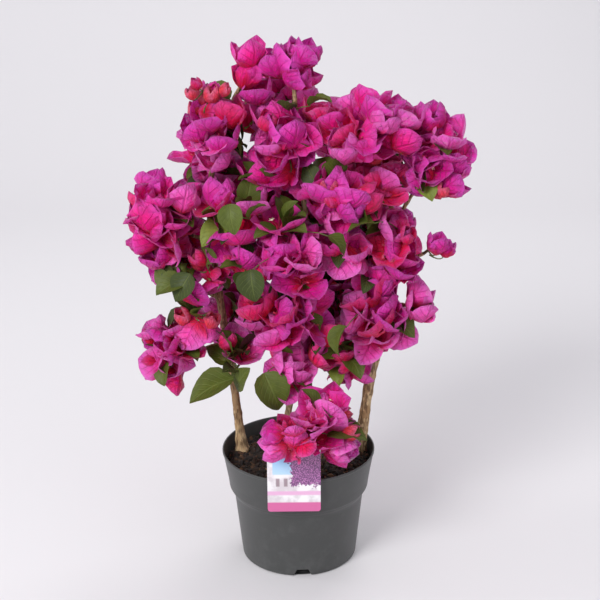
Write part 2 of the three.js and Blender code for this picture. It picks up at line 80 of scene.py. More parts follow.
# A mass of foliage: middle, half sizes, the stem that bears it, how far up that stem its bough leaves,
# and how many large flower heads and large leaves it has.
MASSES = {
    "crest_left": ((-48, 5, 553), (28, 24, 35), "trunk_left", 1, 2, 0),
    "crest_right": ((-3, 5, 552), (44, 28, 34), "stem_middle", 1, 4, 0),
    "upper_left": ((-76, 0, 497), (50, 39, 56), "trunk_left", 0.97, 11, 4),
    "upper_middle": ((-16, -4, 488), (56, 44, 60), "stem_middle", 0.94, 11, 6),
    "upper_right": ((62, -10, 490), (58, 43, 54), "stem_right", 1, 12, 4),
    "far_right": ((140, -5, 460), (47, 38, 70), "stem_right", 0.97, 14, 3),
    "left": ((-134, -5, 396), (52, 40, 59), "trunk_left", 0.82, 13, 4),
    "middle_left": ((-66, -15, 396), (43, 43, 64), "trunk_left", 0.9, 9, 7),
    "middle_right": ((46, -25, 424), (60, 45, 58), "stem_right", 0.9, 12, 6),
    "right": ((104, -15, 378), (43, 42, 62), "stem_right", 0.84, 9, 5),
    "middle": ((-5, -30, 380), (53, 45, 64), "stem_middle", 0.78, 11, 4),
    "lower_middle": ((-13, -25, 304), (66, 43, 46), "stem_middle", 0.52, 10, 6),
    "lower_right": ((88, -15, 292), (56, 39, 60), "stem_right", 0.55, 10, 7),
    "right_tip": ((130, -15, 306), (32, 24, 34), "stem_right", 0.62, 2, 1),
    "lower_left": ((-134, -10, 250), (52, 39, 60), "trunk_left", 0.42, 11, 4),
    "left_leaves": ((-126, -12, 320), (46, 32, 32), "trunk_left", 0.62, 2, 7),
    "low_leaves": ((-66, -14, 228), (66, 38, 54), "trunk_left", 0.34, 3, 18),
    "lower_front": ((-16, -24, 232), (48, 38, 50), "stem_middle", 0.36, 5, 9),
    "low_shoot": ((52, -8, 242), (48, 36, 52), "stem_right", 0.3, 4, 10),
    "sprig": ((144, -14, 367), (30, 18, 28), "stem_right", 0.75, 1, 0),
    "bottom_front": ((18, -76, 182), (62, 41, 56), "stem_middle", 0.22, 12, 3),
    "back_top": ((-22, 62, 500), (54, 39, 50), "stem_middle", 0.97, 8, 6),
    "back_upper_left": ((-88, 60, 440), (50, 40, 58), "trunk_left", 0.93, 7, 7),
    "back_upper_right": ((78, 62, 460), (58, 41, 58), "stem_right", 0.93, 8, 7),
    "back_right": ((94, 54, 372), (42, 40, 60), "stem_right", 0.8, 6, 7),
    "back_left": ((-126, 52, 346), (46, 40, 60), "trunk_left", 0.7, 7, 6),
    "back_middle": ((-4, 66, 386), (60, 42, 64), "stem_middle", 0.7, 8, 8),
    "back_lower_left": ((-66, 62, 276), (52, 40, 50), "trunk_left", 0.5, 6, 7),
    "back_lower_right": ((46, 62, 290), (58, 40, 50), "stem_middle", 0.48, 6, 7),
}
# Masses whose heads grow small from the start, so that they also take less room, each as a share.
SMALL = {"sprig": 0.75, "tuft_buds": 0.62, "tuft_over_label": 0.78}
# Masses whose heads are drawn smaller than the room they take, each as a share.
SLIM = {
    "sprig": 0.75, "crest_left": 0.93, "crest_right": 0.92, "upper_left": 0.92, "far_right": 0.9,
    "left": 0.95, "lower_left": 0.8, "bottom_front": 0.92, "low_shoot": 0.72,
}
# Masses whose heads stand up closed, like lanterns.
LANTERNS = ("crest_left", "crest_right", "tuft_crown", "tuft_crest", "right_tip", "sprig")

# Tufts of finer growth alone that close the crown between the masses, in the same order of values.
TUFTS = {
    "tuft_top": ((28, 0, 494), (26, 28, 36), "stem_middle", 1, 7, 2),
    "tuft_crest": ((-36, 5, 522), (24, 24, 24), "stem_middle", 1, 2, 2),
    "tuft_far_top": ((137, -6, 498), (32, 22, 24), "stem_right", 1, 5, 0),
    "tuft_crown": ((0, 4, 556), (44, 22, 32), "stem_middle", 1, 3, 0),
    "tuft_buds": ((-87, -12, 524), (31, 22, 30), "trunk_left", 1, 7, 2),
    "tuft_trunk": ((-92, -16, 340), (30, 26, 58), "trunk_left", 0.7, 8, 4),
    "tuft_upper_right": ((104, -6, 494), (34, 30, 36), "stem_right", 1, 7, 2),
    "tuft_shoulder": ((86, -10, 430), (34, 34, 34), "stem_right", 0.97, 5, 4),
    "tuft_centre": ((-34, -12, 436), (32, 36, 34), "stem_middle", 0.95, 4, 4),
    "tuft_heart": ((50, -24, 366), (34, 36, 36), "stem_right", 0.86, 6, 3),
    "tuft_left": ((-52, -22, 346), (36, 36, 34), "trunk_left", 0.74, 5, 5),
    "tuft_left_edge": ((-154, -4, 412), (26, 26, 34), "trunk_left", 0.9, 4, 1),
    "tuft_low_left": ((-108, -12, 286), (36, 30, 34), "trunk_left", 0.6, 6, 5),
    "tuft_low_middle": ((26, -20, 268), (30, 32, 36), "stem_middle", 0.5, 5, 4),
    "tuft_low_right": ((76, -10, 332), (34, 34, 36), "stem_right", 0.7, 6, 3),
    "tuft_over_label": ((-8, -102, 187), (50, 15, 32), "stem_middle", 0.22, 10, 0),
}
# Where heads are still young closed buds, each as a middle and a radius.
YOUNG = [
    ((-74, -10, 540), 16), ((-99, -10, 522), 18), ((158, -10, 408), 24), ((-126, -12, 296), 18),
    ((-77, -12, 278), 20), ((-68, -12, 348), 20), ((-30, -90, 205), 14),
]
# Where no leaves stand out of the crown at any depth, each as its x, its z and a radius.
LEAFLESS = [
    (55, 534, 46), (112, 518, 32), (160, 504, 30), (-164, 428, 26), (-126, 455, 28), (-150, 296, 18),
    (138, 338, 22), (120, 220, 40), (-98, 208, 28), (-64, 198, 24), (-34, 202, 20),
]
# Broad leaves that show between the heads, each as its foot, its tip and its width.
SHOWN_LEAVES = [
    ((-56, -36, 232), (-116, -44, 200), 42), ((-40, -40, 244), (-20, -48, 192), 40),
    ((-70, -30, 206), (-50, -42, 240), 32), ((-110, -26, 334), (-148, -34, 318), 30),
    ((-106, -34, 350), (-126, -42, 314), 32), ((52, -56, 300), (44, -64, 258), 36),
    ((86, -52, 402), (50, -60, 392), 34), ((-68, -48, 428), (-62, -56, 388), 28),
    ((-52, -48, 402), (-28, -56, 420), 26), ((28, -62, 396), (48, -68, 368), 28),
    ((-48, -50, 360), (-42, -58, 318), 28), ((8, -10, 510), (38, -24, 516), 26),
]

# How far a mass keeps from each wall of its space, and stems and hook from the soil.
GAP = 0.3
# A bough's radii, how far short of its mass's middle it ends, as a share of the mass's reach there, and the
# shortest one made.
BOUGH = {"foot": 2.9, "tip": 1.9, "enter": 0.72, "shortest": 18}
# Radii of a mass's stem and of its twigs, the shortest twig, and how nearly it must run with its head's axis.
TWIG = {"stem": 1.7, "stem_tip": 1.2, "foot": 1.1, "tip": 0.9, "shortest": 14, "forward": 0.25}
# A full head: its length, the heights (as shares) and radii of its belly and of the valleys between its
# bracts, and how wide its tips stand.
HEAD = {"length": 40, "belly_height": 0.6, "belly": 19, "valley_height": 0.76, "valley": 14.1, "spread": 15.2}
# How far up a head its middle is, and the balls that stand for its room, each as a height share and a radius.
HEAD_MIDDLE = 0.6
HEAD_BALLS = [(0.15, 4), (0.42, 12.2), (0.74, 19)]
# A large leaf: its lengths, width, where it is widest, and the radius of its room as a share of its width.
LEAF = {"shortest": 30, "longest": 60, "width": 34, "widest_at": 0.56, "room": 0.22}
# The share of a leaf's length that is stalk.
STALK_SHARE = 0.2
# How near a head's middle may come to a broad leaf that shows.
LEAF_ROOM = 19
# How close two large sprays may come, as a share of their radii together, and the places tried for them.
PACKING = 0.75
ATTEMPTS = 1500
# How far the tips draw in from the edge of the space by the last attempt, as a share.
SHRINK = 0.6
# How many of the first attempts set a head at the end of the stem.
ENDINGS = 8
# The lower share of a mass's stem that bears nothing.
BARE_SHARE = 0.3

# The bracts' tints, the shares of the first four among low heads and among the rest, and the height under
# which a head is low. Coral is for closed heads alone.
TINTS = ["magenta", "pink", "violet", "crimson", "coral"]
VIOLET, CRIMSON, CORAL = 2, 3, 4
LOW_TINTS = [0.22, 0.54, 0.12, 0.12]
HIGH_TINTS = [0.34, 0.2, 0.32, 0.14]
LOW_HEADS = 300
# How much a lantern turns up, and how far it stands above its place.
LANTERN_LIFT = 1.6
LANTERN_RISE = 3

# Where each kind's random draws start.
SEEDS = {"stems": 11, "knots": 50, "boughs": 80, "heads": 3, "bracts": 21, "flowers": 33, "leaves": 5,
         "soil": 2, "crumbs": 4}

# The pot's radii at its rim, its foot and the shoulder under its collar, the heights of the rim and of that
# shoulder, and the radius of the soil's surface.
POT = {"rim": 85.0, "height": 127.6, "foot": 64.6, "shoulder": 72.6, "shoulder_height": 77}
SOIL_RADIUS = 80.7
# The label's card, and the hook that holds it over the rim.
LABEL = {"width": 56, "foot": 94.5, "head": 172, "thickness": 0.8, "corner": 3, "centre_x": -5, "back_y": -88,
         "hook_width": 14, "hook_inside": -77, "hook_top": 131}

# The floor's run, the backdrop's bend and wall and half their width, in metres.
FLOOR = {"front": -14.0, "back": 1.5, "bend": 1.1, "wall": 3.6, "half_width": 12.0}
# Each light's place, target, size and power, in metres and watts.
LIGHTS = {
    "key_light": ((-1.55, -2.1, 1.85), (0, 0, 0.3), 1.4, 68),
    "fill_light": ((1.9, -1.8, 1.3), (0, 0, 0.25), 2.2, 8),
    "back_light": ((0.6, 1.4, 2.2), (0, 0.1, 0.4), 1.4, 16),
    "wash_light": ((-1.9, 0.2, 1.9), (-0.7, 2.4, 1.4), 1.0, 9),
}
# The even light from all round.
SURROUND = {"Color": (0.93, 0.93, 1.0, 1), "Strength": 0.55}


# ---------------------------------------------------------------- small vector helpers

def unit(vectors):
    """Vectors divided by their own lengths."""
    vectors = np.asarray(vectors, float)
    return vectors / np.maximum(np.linalg.norm(vectors, axis=-1, keepdims=True), 1e-9)


def perpendicular(axis, turn):
    """A unit vector square to the axis: axis x up (or x, if the axis stands), turned about the axis."""
    axis = np.atleast_2d(axis)
    start = np.where(np.abs(axis[:, 2:]) < 0.9, UP, np.array([1.0, 0.0, 0.0]))
    side = unit(np.cross(axis, start))
    turn = np.reshape(turn, (-1, 1))
    return np.cos(turn) * side + np.sin(turn) * np.cross(axis, side)


def smooth_step(low, high, values):
    """0 below low, 1 above high, and 3t^2 - 2t^3 of the share t between."""
    t = np.clip((np.asarray(values, float) - low) / (high - low), 0, 1)
    return t * t * (3 - 2 * t)


def seeded_random(seed):
    """Repeatable numbers from 0 to 1: each state is the last one times 1664525 plus 1013904223."""
    state = seed
    while True:
        state = (state * 1664525 + 1013904223) % 2**32
        yield state / 2**32


def spread_direction(index):
    """Directions that spread evenly round a ball however many are taken, from two irrational steps."""
    height = 1 - 2 * ((0.3 + index * 0.7548776662) % 1)
    turn = TAU * ((0.6 + index * 0.5698402910) % 1)
    flat = math.sqrt(1 - height * height)
    return np.array([flat * math.cos(turn), flat * math.sin(turn), height])


# ---------------------------------------------------------------- limbs

class Path:
    """A smooth line held as many close points, read by the share of its length."""

    def __init__(self, points):
        self.points = np.asarray(points, float)
        steps = np.linalg.norm(np.diff(self.points, axis=0), axis=1)
        self.travel = np.concatenate([[0], np.cumsum(steps)])
        self.length = self.travel[-1]

    def at(self, shares):
        """The points at shares of the length."""
        where = np.asarray(shares, float) * self.length
        return np.stack([np.interp(where, self.travel, self.points[:, k]) for k in range(3)], -1)

    def heading(self, share):
        """The direction at a share, from points a little before and after it."""
        return unit(self.at(min(1, share + 0.002)) - self.at(max(0, share - 0.002)))


def spline_path(through, fineness=100):
    """A centripetal Catmull-Rom spline: a cubic between each two points whose end slopes look one point
    further, each span weighted by the square root of its length."""
    p = np.asarray(through, float)
    p = np.vstack([2 * p[0] - p[1], p, 2 * p[-1] - p[-2]])
    t = np.linspace(0, 1, fineness, endpoint=False)[:, None]
    pieces = []
    for a, b, c, d in zip(p, p[1:], p[2:], p[3:]):
        first, middle, last = (np.sqrt(np.linalg.norm(y - x)) for x, y in ((a, b), (b, c), (c, d)))
        leave = middle * ((b - a) / first - (c - a) / (first + middle) + (c - b) / middle)
        arrive = middle * ((c - b) / middle - (d - b) / (middle + last) + (d - c) / last)
        pieces.append(b + leave * t + (3 * (c - b) - 2 * leave - arrive) * t**2
                      + (2 * (b - c) + leave + arrive) * t**3)
    return Path(np.vstack(pieces + [p[-2]]))


def bend_path(start, bend, end, fineness=60):
    """A quadratic Bezier curve: the start, bend and end points mixed by (1-t)^2, 2t(1-t) and t^2."""
    t = np.linspace(0, 1, fineness)[:, None]
    return Path((1 - t) ** 2 * start + 2 * t * (1 - t) * bend + t**2 * end)


def stem_radius(stem, shares):
    """A straight taper from foot to fork, plus a flare that dies away exponentially above the soil."""
    shares = np.asarray(shares, float)
    taper = stem["foot"] + (stem["fork"] - stem["foot"]) * shares
    return taper + (stem["flare"] - stem["foot"]) * np.exp(-22 * shares)


class Mass:
    """One mass of foliage: its space, the bough that reaches it and the stem that runs on into it."""

    def __init__(self, name, limb_paths):
        at, half, self.limb, self.up, self.heads, self.leaves = (MASSES | TUFTS)[name]
        self.name = name
        self.centre = np.array(at, float)
        self.half = np.array(half, float)
        self.small = SMALL.get(name, 1)
        limb = limb_paths[self.limb]
        self.foot = limb.at(self.up)
        self.bough = self.bough_path(limb)
        start = self.bough.at(1) if self.bough else self.foot
        self.stem = np.array([start, self.centre + 0.2 * (self.centre - start)])
        self.normals, self.limits = np.zeros((0, 3)), np.zeros(0)
        self.taken = Balls()

    def reach(self, direction):
        """How far the mass's ellipsoid goes from its middle in a direction."""
        return 1 / np.linalg.norm(direction / self.half, axis=-1)

    def bough_path(self, limb):
        """A bend that leaves along the limb, turns to the middle of the mass and ends inside its edge."""
        toward = self.centre - self.foot
        distance = np.linalg.norm(toward)
        direction = toward / distance
        length = distance - BOUGH["enter"] * self.reach(direction)
        if length < BOUGH["shortest"]:
            return None
        bend = self.foot + limb.heading(self.up) * length * 0.38 + direction * length * 0.2
        return bend_path(self.foot, bend, self.foot + direction * length)

    def walls(self, others):
        """Flat walls between neighbours, set between their middles in proportion to their reach."""
        normals, limits = [], []
        for other in others:
            if other is self:
                continue
            across = other.centre - self.centre
            distance = np.linalg.norm(across)
            normal = across / distance
            mine, theirs = self.reach(normal), other.reach(normal)
            if mine + theirs > distance:
                normals.append(normal)
                limits.append(distance * mine / (mine + theirs) - GAP)
        self.normals = np.reshape(normals, (-1, 3))
        self.limits = np.array(limits)

    def inside(self, points, ease=0.0):
        """Whether all points lie in the ellipsoid and on this side of every wall, with some ease."""
        local = points - self.centre
        if (np.linalg.norm(local / (self.half + ease), axis=1) > 1).any():
            return False
        return bool((local @ self.normals.T < self.limits + ease).all())

    def lowest_lift(self):
        """How much heads turn up at least: more in high masses, and down in low ones."""
        return float(np.clip((self.centre[2] - 330) / 400, -0.35, 0.2))

    def nearest_twig(self, point):
        """The nearest point that a finer twig may start from."""
        distance = np.linalg.norm(self.twig_points - point, axis=1)
        return self.twig_points[np.argmin(distance)]

    def remember_twig(self, start, end):
        """Three points along a twig, kept as starts for finer ones."""
        shares = np.linspace(0.3, 0.9, 3)[:, None]
        self.twig_points = np.vstack([self.twig_points, start + (end - start) * shares])

    def fits(self, points, body, twig, fine):
        """A spray stays in its space, clear of the limbs, label and pot, and doesn't crowd its neighbours."""
        if not self.inside(points, settings().ease if fine else 0):
            return False
        packing = settings().fine_packing if fine else PACKING
        at, radius = body
        if not self.limb_balls.clear(at, radius, 0.6 if fine else 1):
            return False
        if not self.taken.clear(at, radius, packing):
            return False
        if not fine and not self.limb_balls.clear(twig[0][1:], twig[1][1:], 1):
            return False
        ends = np.vstack([points, twig[0][:1]])
        return clear_of_label(ends) and clear_of_pot(ends)


def nearest_on(line, point):
    """The point of a straight line, between its ends, that is nearest to a point."""
    start, run = line[0], line[1] - line[0]
    return start + np.clip((point - start) @ run / (run @ run), 0, 1) * run


def balls_along(start, end, radius):
    """Balls of one radius along a straight line, at most 4 mm apart."""
    count = max(1, math.ceil(np.linalg.norm(end - start) / 4))
    at = start + (end - start) * np.linspace(0, 1, count + 1)[:, None]
    return at, np.full(count + 1, float(radius))


def clear_of_label(points):
    """Whether the points all stand in front of the card, behind it above the hook, over it or beside it."""
    margin = 1.5
    x, y, z = points.T
    return bool((y < LABEL["back_y"] - LABEL["thickness"] - margin).all()
                or ((y > LABEL["back_y"] + margin) & (z > LABEL["hook_top"] + margin)).all()
                or (z > LABEL["head"] + margin).all()
                or (np.abs(x - LABEL["centre_x"]) > LABEL["width"] / 2 + margin).all())


def clear_of_pot(points):
    """Whether the points all stand over the rim, or hang well in front of it."""
    y, z = points[:, 1], points[:, 2]
    over, in_front, lowest = 2, 8, 78
    return bool((z > POT["height"] + over).all() or ((y < -POT["rim"] - in_front) & (z > lowest)).all())


class Balls:
    """A set of balls, as rows of centre and radius, for clearances."""

    def __init__(self, at=(), radius=()):
        self.at = np.reshape(at, (-1, 3))
        self.radius = np.reshape(radius, -1)

    def add(self, at, radius):
        """Take in more balls."""
        self.at = np.vstack([self.at, at])
        self.radius = np.concatenate([self.radius, radius])

    def near(self, centre, distance):
        """The balls whose middles are nearer to a centre than a distance."""
        close = np.linalg.norm(self.at - centre, axis=1) < distance
        return Balls(self.at[close], self.radius[close])

    def rows(self):
        """The middles and the radii."""
        return self.at, self.radius

    def clear(self, at, radius, packing):
        """Whether other balls keep further from these than packing times both radii."""
        if not len(self.at):
            return True
        distance = np.linalg.norm(at[:, None] - self.at[None], axis=2)
        return bool((distance > packing * (radius[:, None] + self.radius[None])).all())


# ---------------------------------------------------------------- growing the sprays

def place_head(mass, attempt, draw, fine):
    """A flower head whose tips reach for the edge of the space, as its root, axis, turn, scale and twig."""
    ending = attempt < ENDINGS and not fine
    run = unit(mass.stem[1] - mass.leafy[0])
    direction = run if ending else spread_direction(attempt + (900 if fine else 0))
    share = 1 - (0.5 * attempt / ENDINGS if ending else SHRINK * attempt / ATTEMPTS)
    lift = mass.lowest_lift() + 0.45 * next(draw)
    turn = TAU * next(draw)
    scale = mass.small * (0.62 + 0.36 * (1 - attempt / ATTEMPTS) + 0.14 * next(draw))
    scale *= settings().fine_head if fine else 1
    axis = unit(direction + UP * lift)
    root = mass.centre + direction * share * mass.reach(direction) - axis * HEAD["length"] * scale
    start = mass.nearest_twig(root) if fine else nearest_on(mass.leafy, root)
    run = root - start
    span = np.linalg.norm(run)
    seated = span < TWIG["shortest"]
    if not seated and run @ axis < TWIG["forward"] * span:
        return None
    length = HEAD["length"] * scale
    outs = perpendicular(np.repeat(axis[None], 3, 0), turn + TAU / 3 * np.arange(3))
    betweens = perpendicular(np.repeat(axis[None], 3, 0), turn + TAU / 3 * (np.arange(3) + 0.5))
    points = np.vstack([
        [start if seated else root, root + 0.4 * length * axis],
        root + HEAD["belly_height"] * length * axis + HEAD["belly"] * scale * outs,
        root + HEAD["valley_height"] * length * axis + HEAD["valley"] * scale * betweens,
        root + length * axis + HEAD["spread"] * scale * outs,
    ])
    at = np.array([root + axis * height * length for height, _ in HEAD_BALLS])
    radius = np.array([ball * scale for _, ball in HEAD_BALLS])
    twig = balls_along(start, root, TWIG["foot"])
    if not mass.fits(points, (at, radius), twig, fine):
        return None
    return {"root": root, "axis": axis, "turn": turn, "scale": scale, "start": start, "balls": (at, radius)}


def place_leaf(mass, attempt, draw, fine):
    """A leaf whose stalk starts on a stem and whose tip reaches for the edge of the space."""
    direction = spread_direction(attempt + (1700 if fine else 7))
    share = (0.88 if fine else 1) - SHRINK * attempt / ATTEMPTS
    droop = 0.2 + 0.5 * next(draw)
    turn = 0.7 * (next(draw) - 0.5)
    width = LEAF["width"] * (0.85 + 0.3 * next(draw))
    tip = mass.centre + direction * share * mass.reach(direction)
    toward = tip + UP * droop * mass.reach(direction)
    root = mass.nearest_twig(toward) if fine else nearest_on(mass.leafy, toward)
    length = np.linalg.norm(tip - root)
    if fine and length > settings().leaf_longest:
        root = tip + (root - tip) * settings().leaf_longest / length
        length = settings().leaf_longest
    if not (settings().leaf_shortest if fine else LEAF["shortest"]) <= length <= LEAF["longest"]:
        return None
    axis = (tip - root) / length
    side = perpendicular(axis, turn)[0]
    middle = root + axis * LEAF["widest_at"] * length
    half = (min(width, 0.62 * length) if fine else width) / 2
    points = np.array([root, tip, middle + side * half, middle - side * half])
    body = balls_along(root + 0.35 * (tip - root), root + 0.85 * (tip - root), 2 * half * LEAF["room"])
    if not mass.fits(points, body, balls_along(root, tip, 1), fine):
        return None
    return {"root": root, "tip": tip, "turn": turn, "width": 2 * half, "balls": body,
            "start": mass.nearest_twig(root)}


def grow_mass(mass, limb_balls, index):
    """The large sprays come first, then finer ones fill what is left between them."""
    settled = settings()
    draw = seeded_random(1000 + 77 * index)
    mass.leafy = np.array([mass.stem[0] + BARE_SHARE * (mass.stem[1] - mass.stem[0]), mass.stem[1]])
    mass.limb_balls = limb_balls.near(mass.centre, max(mass.half) + 60)
    mass.twig_points = mass.leafy[0] + (mass.leafy[1] - mass.leafy[0]) * np.linspace(0, 1, 12)[:, None]
    found = {"heads": [], "leaves": []}
    tuft = mass.name in TUFTS
    rounds = [
        ("heads", place_head, 0 if tuft else mass.heads, ATTEMPTS, False),
        ("leaves", place_leaf, 0 if tuft else mass.leaves, ATTEMPTS, False),
        ("heads", place_head, round(mass.heads * settled.fine_heads), settled.fine_attempts, True),
        ("leaves", place_leaf, round(mass.leaves * settled.fine_leaves), settled.fine_attempts, True),
    ]
    for kind, place, wanted, attempts, fine in rounds:
        count = 0
        for attempt in range(attempts):
            if count >= wanted:
                break
            spray = place(mass, attempt * ATTEMPTS / attempts if fine else attempt, draw, fine)
            if spray:
                mass.taken.add(*spray["balls"])
                if kind == "heads":
                    mass.remember_twig(spray["start"], spray["root"])
                spray["fine"] = fine
                found[kind].append(spray)
                count += 1
    return found


# What grow_plant and clear_leaves have worked out, kept so that the pieces agree.
grown = {}


def grow_plant():
    """The whole plant, grown once and kept: limb paths, masses and what each mass bears."""
    if grown:
        return grown
    limbs = {name: spline_path(stem["through"]) for name, stem in STEMS.items()}
    limb_balls = Balls()
    for name, path in limbs.items():
        shares = np.linspace(0, 1, math.ceil(path.length / 3) + 1)
        limb_balls.add(path.at(shares), stem_radius(STEMS[name], shares))
    masses = [Mass(name, limbs) for name in MASSES]
    for mass in masses:
        if mass.bough:
            shares = np.linspace(0, 1, math.ceil(mass.bough.length / 3) + 1)
            limb_balls.add(mass.bough.at(shares), BOUGH["foot"] + (BOUGH["tip"] - BOUGH["foot"]) * shares)
    for mass in masses:
        mass.walls(masses)
    for index, mass in enumerate(masses):
        mass.sprays = grow_mass(mass, limb_balls, index)
    tufts = [Mass(name, limbs) for name in TUFTS]
    for index, tuft in enumerate(tufts):
        for mass in masses:
            tuft.taken.add(*mass.taken.near(tuft.centre, 90).rows())
        tuft.sprays = grow_mass(tuft, limb_balls, 100 + index)
    grown.update(limbs=limbs, masses=masses, tufts=tufts)
    return grown


# ---------------------------------------------------------------- meshes from arrays

UV_MAP = "OFBake"


def mesh_object(name, points, faces, materials, uv=None, slots=None, sharp=None):
    """A mesh from points in millimetres and arrays of faces, each array with its own number of corners."""
    faces = [np.asarray(f, np.int64) for f in faces]
    corners = np.concatenate([f.ravel() for f in faces])
    totals = np.concatenate([np.full(len(f), f.shape[1]) for f in faces])
    mesh = bpy.data.meshes.new(name)
    mesh.vertices.add(len(points))
    mesh.vertices.foreach_set("co", (np.asarray(points, float) * MM).astype(np.float32).ravel())
    mesh.loops.add(len(corners))
    mesh.loops.foreach_set("vertex_index", corners.astype(np.int32))
    mesh.polygons.add(len(totals))
    mesh.polygons.foreach_set("loop_start", (np.cumsum(totals) - totals).astype(np.int32))
    for material in materials:
        mesh.materials.append(material)
    if slots is not None:
        mesh.polygons.foreach_set("material_index", np.asarray(slots, np.int32))
    if uv is not None:
        layer = mesh.uv_layers.new(name=UV_MAP)
        layer.uv.foreach_set("vector", np.asarray(uv, np.float32)[corners].ravel())
    mesh.update(calc_edges=True)
    mesh.validate()
    mesh.shade_smooth()
    if sharp is not None:
        mesh.set_sharp_from_angle(angle=math.radians(sharp))
    piece = bpy.data.objects.new(name, mesh)
    bpy.context.scene.collection.objects.link(piece)
    return piece


def finish_piece(piece, nodes=()):
    """A piece rides on the plant's body and stands for its nodes."""
    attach(piece, "root")
    if nodes:
        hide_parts(*nodes)
    return piece


def repeat_faces(template, count, stride):
    """One shape's faces, repeated for count copies whose points follow each other."""
    template = np.asarray(template, np.int64)
    return (template[None] + stride * np.arange(count)[:, None, None]).reshape(-1, template.shape[1])


def tube_rings(paths, radii, sides):
    """Rings of points round many paths: each ring stands square to its path, and its first spoke is carried
    on from ring to ring by taking away its part along the path. Radii are one a ring, or one a corner."""
    paths = np.asarray(paths, float)
    tangents = unit(np.gradient(paths, axis=1))
    spoke = perpendicular(tangents[:, 0], 0.0)
    angle = TAU * np.arange(sides) / sides
    radii = np.asarray(radii, float)
    radii = radii[..., None] if radii.ndim == 2 else radii
    rings = []
    for k in range(paths.shape[1]):
        tangent = tangents[:, k]
        spoke = unit(spoke - (spoke * tangent).sum(-1, keepdims=True) * tangent)
        across = np.cross(tangent, spoke)
        around = np.cos(angle)[:, None] * spoke[:, None] + np.sin(angle)[:, None] * across[:, None]
        rings.append(paths[:, k, None] + radii[:, k, :, None] * around)
    return np.stack(rings, 1)


def tube_faces(steps, sides):
    """Faces of one tube: quads between its rings, and a fan to a middle point at each end."""
    i, k = np.meshgrid(np.arange(steps - 1), np.arange(sides), indexing="ij")
    a, b = i * sides + k, i * sides + (k + 1) % sides
    quads = np.stack([a, b, b + sides, a + sides], -1).reshape(-1, 4)
    k = np.arange(sides)
    last = (steps - 1) * sides
    foot, head = steps * sides, steps * sides + 1
    fans = np.vstack([
        np.stack([(k + 1) % sides, k, np.full(sides, foot)], 1),
        np.stack([last + k, last + (k + 1) % sides, np.full(sides, head)], 1),
    ])
    return quads, fans


def tubes(paths, radii, sides):
    """Points and faces of many closed tubes of the same number of rings and sides."""
    rings = tube_rings(paths, radii, sides)
    count, steps = rings.shape[:2]
    ends = np.stack([rings[:, 0].mean(1), rings[:, -1].mean(1)], 1)
    points = np.concatenate([rings.reshape(count, -1, 3), ends], 1)
    quads, fans = tube_faces(steps, sides)
    stride = points.shape[1]
    return points.reshape(-1, 3), repeat_faces(quads, count, stride), repeat_faces(fans, count, stride)


def bends(starts, middles, ends, steps):
    """Many quadratic Bezier curves at once."""
    t = np.linspace(0, 1, steps)[None, :, None]
    return (1 - t) ** 2 * starts[:, None] + 2 * t * (1 - t) * middles[:, None] + t**2 * ends[:, None]


def stack(parts):
    """Several (points, quads, triangles) as one, their faces renumbered."""
    points, quads, fans, start = [], [], [], 0
    for p, q, f in parts:
        points.append(p)
        quads.append(q + start)
        fans.append(f + start)
        start += len(p)
    return np.vstack(points), np.vstack(quads), np.vstack(fans)


# ---------------------------------------------------------------- blades: bracts and leaves

BLADE_ROWS = 9
BLADE_COLUMNS = 5
# Stations along a blade, closer together at its foot and tip than in the middle.
STATIONS = np.linspace(0, 1, BLADE_ROWS)
STATIONS = 0.45 * STATIONS + 0.55 * (0.5 - 0.5 * np.cos(np.pi * STATIONS))


def blade_template():
    """Faces and map points of a blade: a front and a back grid that share their border."""
    rows, columns = BLADE_ROWS, BLADE_COLUMNS
    front = np.arange(rows * columns).reshape(rows, columns)
    back = front.copy()
    back[1:-1, 1:-1] = rows * columns + np.arange((rows - 2) * (columns - 2)).reshape(rows - 2, columns - 2)

    def cells(grid, flip):
        """The grid's quads, turned over where flip is set."""
        ring = [grid[:-1, :-1], grid[:-1, 1:], grid[1:, 1:], grid[1:, :-1]]
        return np.stack(ring[::-1] if flip else ring, -1).reshape(-1, 4)

    across, along = np.meshgrid(np.linspace(0, 1, columns), STATIONS)
    uv = np.stack([across, along], -1)
    uv = np.vstack([uv.reshape(-1, 2), uv[1:-1, 1:-1].reshape(-1, 2)])
    return np.vstack([cells(front, False), cells(back, True)]), uv


